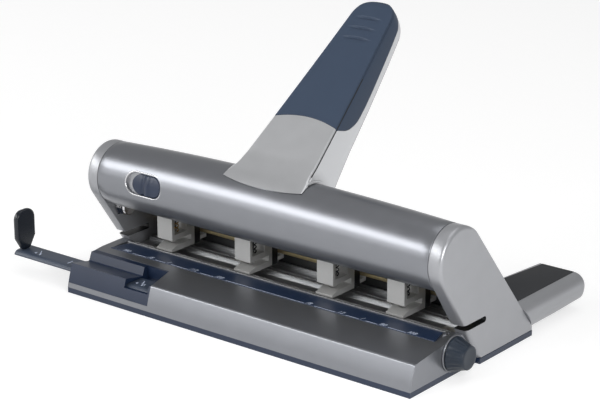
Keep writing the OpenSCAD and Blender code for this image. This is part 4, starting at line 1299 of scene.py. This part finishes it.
@dataclass
class Marks(Base):
    """The pale print: the scale on the strip and the marks on the side guide."""

    strip_z: float = 27.86
    strip_y: float = -12.95
    rail_z: float = 18.4
    thick: float = 0.06
    size: float = 5.6
    groups: tuple[tuple[float, str], ...] = (
        (-144.5, "I80"), (-117.5, "/8"), (-97.5, "/"), (-74.5, "/12"), (-48.5, "/08"), (40.0, "/8"),
        (69.0, "12"), (90.5, "/"), (107.0, "80"), (132.0, "I08"))
    rail_numbers: tuple[tuple[str, float, float], ...] = (
        ("4", -213.6, 4.6), ("5", -208.2, 4.6), ("4", -103.8, 5.2), ("5", -96.4, 5.2))
    rail_strokes: tuple[tuple[Point, Point], ...] = (
        ((-212.2, -35.2), (-207.0, -43.0)), ((-176.2, -36.5), (-176.2, -42.5)),
        ((-101.4, -34.0), (-96.6, -43.0)))
    rail_y: float = -42.4

    def line(self, x0: float, x1: float, width: float = 0.5) -> bmesh.types.BMesh:
        """A stretch of the scale's long line.

        Args:
            x0: Its left end.
            x1: Its right end.
            width: Its width.

        Returns:
            The closed mesh.
        """
        y0, y1, z = self.strip_y, self.strip_y + width, self.strip_z
        return Bench.prism([(x0, y0, z), (x1, y0, z), (x1, y1, z), (x0, y1, z)], (0, 0, self.thick))

    def stroke(self, start: Point, end: Point, width: float = 0.8) -> bmesh.types.BMesh:
        """A thin flat line of print on the rail.

        Args:
            start: Its first point.
            end: Its last point.
            width: Its width along the rail.

        Returns:
            The closed mesh.
        """
        (x0, y0), (x1, y1) = start, end
        outline = ((x0, y0), (x0 + width, y0), (x1 + width, y1), (x1, y1))
        return Bench.prism([(x, y, self.rail_z) for x, y in outline], (0, 0, self.thick))

    def glyphs(self, text: str, place: Point, size: float, lean: float) -> bmesh.types.BMesh:
        """Raised print of a short text that lies flat.

        Args:
            text: The letters or numbers.
            place: Its left end, its foot and the height on which it lies.
            size: Height of the letters.
            lean: Slant of the letters.

        Returns:
            The mesh in millimetres.
        """
        curve = bpy.data.curves.new("print", "FONT")
        curve.body, curve.size, curve.extrude, curve.shear = text, size, self.thick / 2, lean
        thing = bpy.data.objects.new("print", curve)
        bpy.context.scene.collection.objects.link(thing)
        mesh = bpy.data.meshes.new_from_object(thing.evaluated_get(bpy.context.evaluated_depsgraph_get()))
        bm = bmesh.new()
        bm.from_mesh(mesh)
        bpy.data.curves.remove(curve)
        bpy.data.meshes.remove(mesh)
        bmesh.ops.translate(bm, vec=Vector(place) + Vector((0, 0, self.thick / 2)), verts=bm.verts[:])
        return bm

    def build(self) -> None:
        """Makes the scale line with its groups and the marks of the guide."""
        parts = []
        for i, (x, text) in enumerate(self.groups):
            parts.append(self.glyphs(text, (x, self.strip_y + 0.5, self.strip_z), self.size, 0.2))
            if i + 1 < len(self.groups):
                parts.append(self.line(x + 2.0 + 3.2 * len(text), self.groups[i + 1][0] - 1.0))
        Bench.finish(Bench.join(parts), "scale_print", PAINT.print, "base", "navy_print")
        parts = [self.glyphs(text, (x, self.rail_y, self.rail_z), size, -0.3)
                 for text, x, size in self.rail_numbers]
        parts += [self.stroke(start, end) for start, end in self.rail_strokes]
        Bench.finish(Bench.join(parts), "guide_print", PAINT.print, "guide", "guide_grey")


@dataclass
class Copies:
    """CAD nodes that keep their shape and get rounded edges."""

    crease_width: float = 1.3
    crease_y: float = -46.0
    crease_z: float = 22.5
    crease_long: float = 20.0
    fine: float = 0.45

    @staticmethod
    def plan() -> list[tuple[str, float, str, str, Finish]]:
        """Lists the nodes that are copied.

        Returns:
            Each node with its rounding, body, material slot and finish.
        """
        plan: list[tuple[str, float, str, str, Finish]] = []
        for k in range(1, 5):
            body = f"punch_unit_{k}"
            plan += [(f"unit_{k}", 0.3, body, "unit", PAINT.unit),
                     (f"carriage_{k}", 0.4, body, "black", PAINT.black),
                     (f"hook_{k}", 0.3, body, "tab_white", PAINT.tab_white)]
        return plan + [("front_cover", 0.45, "base", "silver", PAINT.silver),
                       ("base_tray", 0.5, "base", "navy", PAINT.navy),
                       ("guide_housing", 0.5, "base", "navy", PAINT.navy),
                       ("guide_rail", 0.4, "guide", "guide_grey", PAINT.guide_grey),
                       ("side_stop", 1.9, "guide", "paddle", PAINT.paddle),
                       ("die_rail", 0.15, "base", "rail", PAINT.rail),
                       ("scale_strip", 0.25, "base", "navy_print", PAINT.navy_strip),
                       ("knob_boss", 0.6, "base", "silver", PAINT.silver),
                       ("guide_bar", 0.4, "base", "yellow", PAINT.yellow)]

    def build(self) -> None:
        """Rounds the edges of the folded and moulded pieces."""
        for node, width, body, slot, paint in self.plan():
            bm = Bench.copy_node(node)
            if node == "front_cover":
                bm = Bench.soften(bm, self.crease_width, 4, 40.0, self.crease)
            bm = Bench.soften(bm, width, 3 if width > self.fine else 2, 22.0)
            Bench.finish(bm, f"{node}_rounded", paint, body, slot, [node], 32.0, flat=True)

    def crease(self, edge: bmesh.types.BMEdge) -> bool:
        """Tells the long front edge of the deck from the others.

        Args:
            edge: An edge of the front cover.

        Returns:
            True for that edge.
        """
        a, b = (v.co for v in edge.verts)
        return (abs(a.x - b.x) > self.crease_long and max(a.y, b.y) < self.crease_y
                and min(a.z, b.z) > self.crease_z)


@dataclass(frozen=True)
class Softbox:
    """A soft lamp.

    Attributes:
        name: Its name.
        toward: Direction from the object to the lamp.
        distance: How far away it hangs, in metres.
        size: Its width and height.
        watts: Its power.
        aim: The point it faces.
    """

    name: str
    toward: tuple[float, float, float]
    distance: float
    size: tuple[float, float]
    watts: float
    aim: tuple[float, float, float] = (0.0, 0.0, 0.08)

    def hang(self) -> None:
        """Hangs the lamp, facing its aim."""
        data = bpy.data.lights.new(self.name, "AREA")
        data.shape, data.energy = "RECTANGLE", self.watts
        data.size, data.size_y = self.size
        thing = bpy.data.objects.new(self.name, data)
        way = Vector(self.toward).normalized()
        thing.location = Vector(self.aim) + way * self.distance
        thing.rotation_euler = way.to_track_quat("Z", "Y").to_euler()
        bpy.context.scene.collection.objects.link(thing)


@dataclass
class Studio:
    """Floor, lamps, surroundings and the camera, in metres."""

    azimuth: float = 38.418
    elevation: float = 18.534
    place: tuple[float, float, float] = (0.908315, -1.113626, 0.578323)
    lens: float = 122.34
    sensor: float = 36.0
    floor_r: float = 14.0
    floor_shade: float = 0.5
    floor_glow: float = 0.62
    horizon: tuple[float, float] = (0.10, 0.60)
    zenith: tuple[float, float] = (0.32, 0.34)
    lamps: tuple[Softbox, ...] = (
        Softbox("key_softbox", (-0.589, -0.665, 0.47), 2.6, (2.8, 0.8), 40.0),
        Softbox("front_strip", (-0.59, -0.80, 0.17), 2.7, (2.8, 0.45), 5.5),
        Softbox("top_softbox", (0.15, 0.25, 1.0), 1.8, (1.6, 1.2), 6.0),
        Softbox("side_softbox", (0.73, -0.50, 0.40), 0.62, (0.30, 0.25), 2.2, (0.10, 0.0, 0.06)))

    def floor(self) -> None:
        """Lays the pale floor, which is seen white but gives off no light."""
        bm = bmesh.new()
        bmesh.ops.create_circle(bm, cap_ends=True, radius=self.floor_r, segments=96)
        mesh = bpy.data.meshes.new("studio_floor")
        bm.to_mesh(mesh)
        bm.free()
        mat = bpy.data.materials.new("studio_white")
        mat.use_nodes = True
        nodes, links = mat.node_tree.nodes, mat.node_tree.links
        shader = nodes["Principled BSDF"]
        shader.inputs["Base Color"].default_value = (self.floor_shade,) * 3 + (1,)
        shader.inputs["Roughness"].default_value = 0.9
        shader.inputs["Specular IOR Level"].default_value = 0.0
        path = nodes.new("ShaderNodeLightPath")
        seen = [path.outputs[n] for n in ("Is Camera Ray", "Is Glossy Ray", "Is Transmission Ray")]
        total = seen[0]
        for extra in seen[1:]:
            add = nodes.new("ShaderNodeMath")
            add.operation = "MAXIMUM"
            links.new(total, add.inputs[0])
            links.new(extra, add.inputs[1])
            total = add.outputs[0]
        glow = nodes.new("ShaderNodeMath")
        glow.operation = "MULTIPLY"
        glow.inputs[1].default_value = self.floor_glow
        links.new(total, glow.inputs[0])
        shader.inputs["Emission Color"].default_value = (1, 1, 1, 1)
        links.new(glow.outputs[0], shader.inputs["Emission Strength"])
        mesh.materials.append(mat)
        floor = bpy.data.objects.new("studio_floor", mesh)
        bpy.context.scene.collection.objects.link(floor)

    def surroundings(self) -> None:
        """Gives the world a pale horizon under a dimmer sky."""
        world = bpy.data.worlds.new("studio_world")
        bpy.context.scene.world = world
        world.use_nodes = True
        nodes, links = world.node_tree.nodes, world.node_tree.links
        back = nodes["Background"]
        way = nodes.new("ShaderNodeTexCoord")
        split = nodes.new("ShaderNodeSeparateXYZ")
        links.new(way.outputs["Generated"], split.inputs[0])
        ramp = nodes.new("ShaderNodeMapRange")
        ramp.interpolation_type = "SMOOTHSTEP"
        for end, (height, level) in (("Min", self.horizon), ("Max", self.zenith)):
            ramp.inputs[f"From {end}"].default_value = height
            ramp.inputs[f"To {end}"].default_value = level
        links.new(split.outputs["Z"], ramp.inputs["Value"])
        links.new(ramp.outputs["Result"], back.inputs["Strength"])
        back.inputs["Color"].default_value = (1, 1, 1, 1)

    def camera(self) -> None:
        """Sets the camera at the photograph's place."""
        data = bpy.data.cameras.new("photo_camera")
        data.sensor_width, data.lens, data.clip_end = self.sensor, self.lens, 4 * self.floor_r
        thing = bpy.data.objects.new("photo_camera", data)
        a, e = math.radians(self.azimuth), math.radians(self.elevation)
        back = Vector((math.sin(a) * math.cos(e), -math.cos(a) * math.cos(e), math.sin(e)))
        right = Vector((math.cos(a), math.sin(a), 0.0))
        turn = Matrix((right, back.cross(right), back)).transposed()
        thing.matrix_world = Matrix.Translation(self.place) @ turn.to_4x4()
        bpy.context.scene.collection.objects.link(thing)
        bpy.context.scene.camera = thing

    def build(self) -> None:
        """Sets up the whole studio."""
        bpy.context.scene.view_settings.view_transform = "Standard"
        self.camera()
        self.floor()
        self.surroundings()
        for lamp in self.lamps:
            lamp.hang()


def dress_nodes() -> None:
    """Gives every CAD node that still shows its finish."""
    plain = {
        "base_frame": PAINT.steel, "press_rods": PAINT.chrome, "press_bar": PAINT.yellow,
        "press_posts": PAINT.steel, "lever_shaft": PAINT.chrome, "lever_arms": PAINT.steel,
        "cranks": PAINT.steel, "crank_rollers": PAINT.brassy, "lever_bolts": PAINT.steel,
        "back_cover": PAINT.silver, "inner_panel": PAINT.panel, "knob_spindle": PAINT.chrome,
        "margin_nut": PAINT.tab_white, "foot_pads": PAINT.rubber, "rest_pads": PAINT.rubber,
        "cover_screws": PAINT.steel, "side_spring": PAINT.chrome, "spring_stud": PAINT.chrome,
    }
    for name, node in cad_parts.items():
        paint = plain.get(name)
        if name.startswith("pin_") and "spring" not in name:
            paint = PAINT.chrome
        if paint:
            node.data.materials.clear()
            node.data.materials.append(paint.material())


def main() -> None:
    """Builds the studio and every sub-assembly in order."""
    logging.basicConfig(level=logging.INFO, format="%(name)s %(message)s")
    Studio().build()
    dress_nodes()
    lock = LockWindow()
    Bar().build(lock)
    lock.build()
    for side in (Side.RIGHT, Side.LEFT):
        Cheek(side=side).build()
    Lever().build()
    Springs().build()
    Knob().build()
    for side in (Side.RIGHT, Side.LEFT):
        Foot(side=side).build()
    Copies().build()
    Marks().build()


if __name__ == "__main__":
    main()
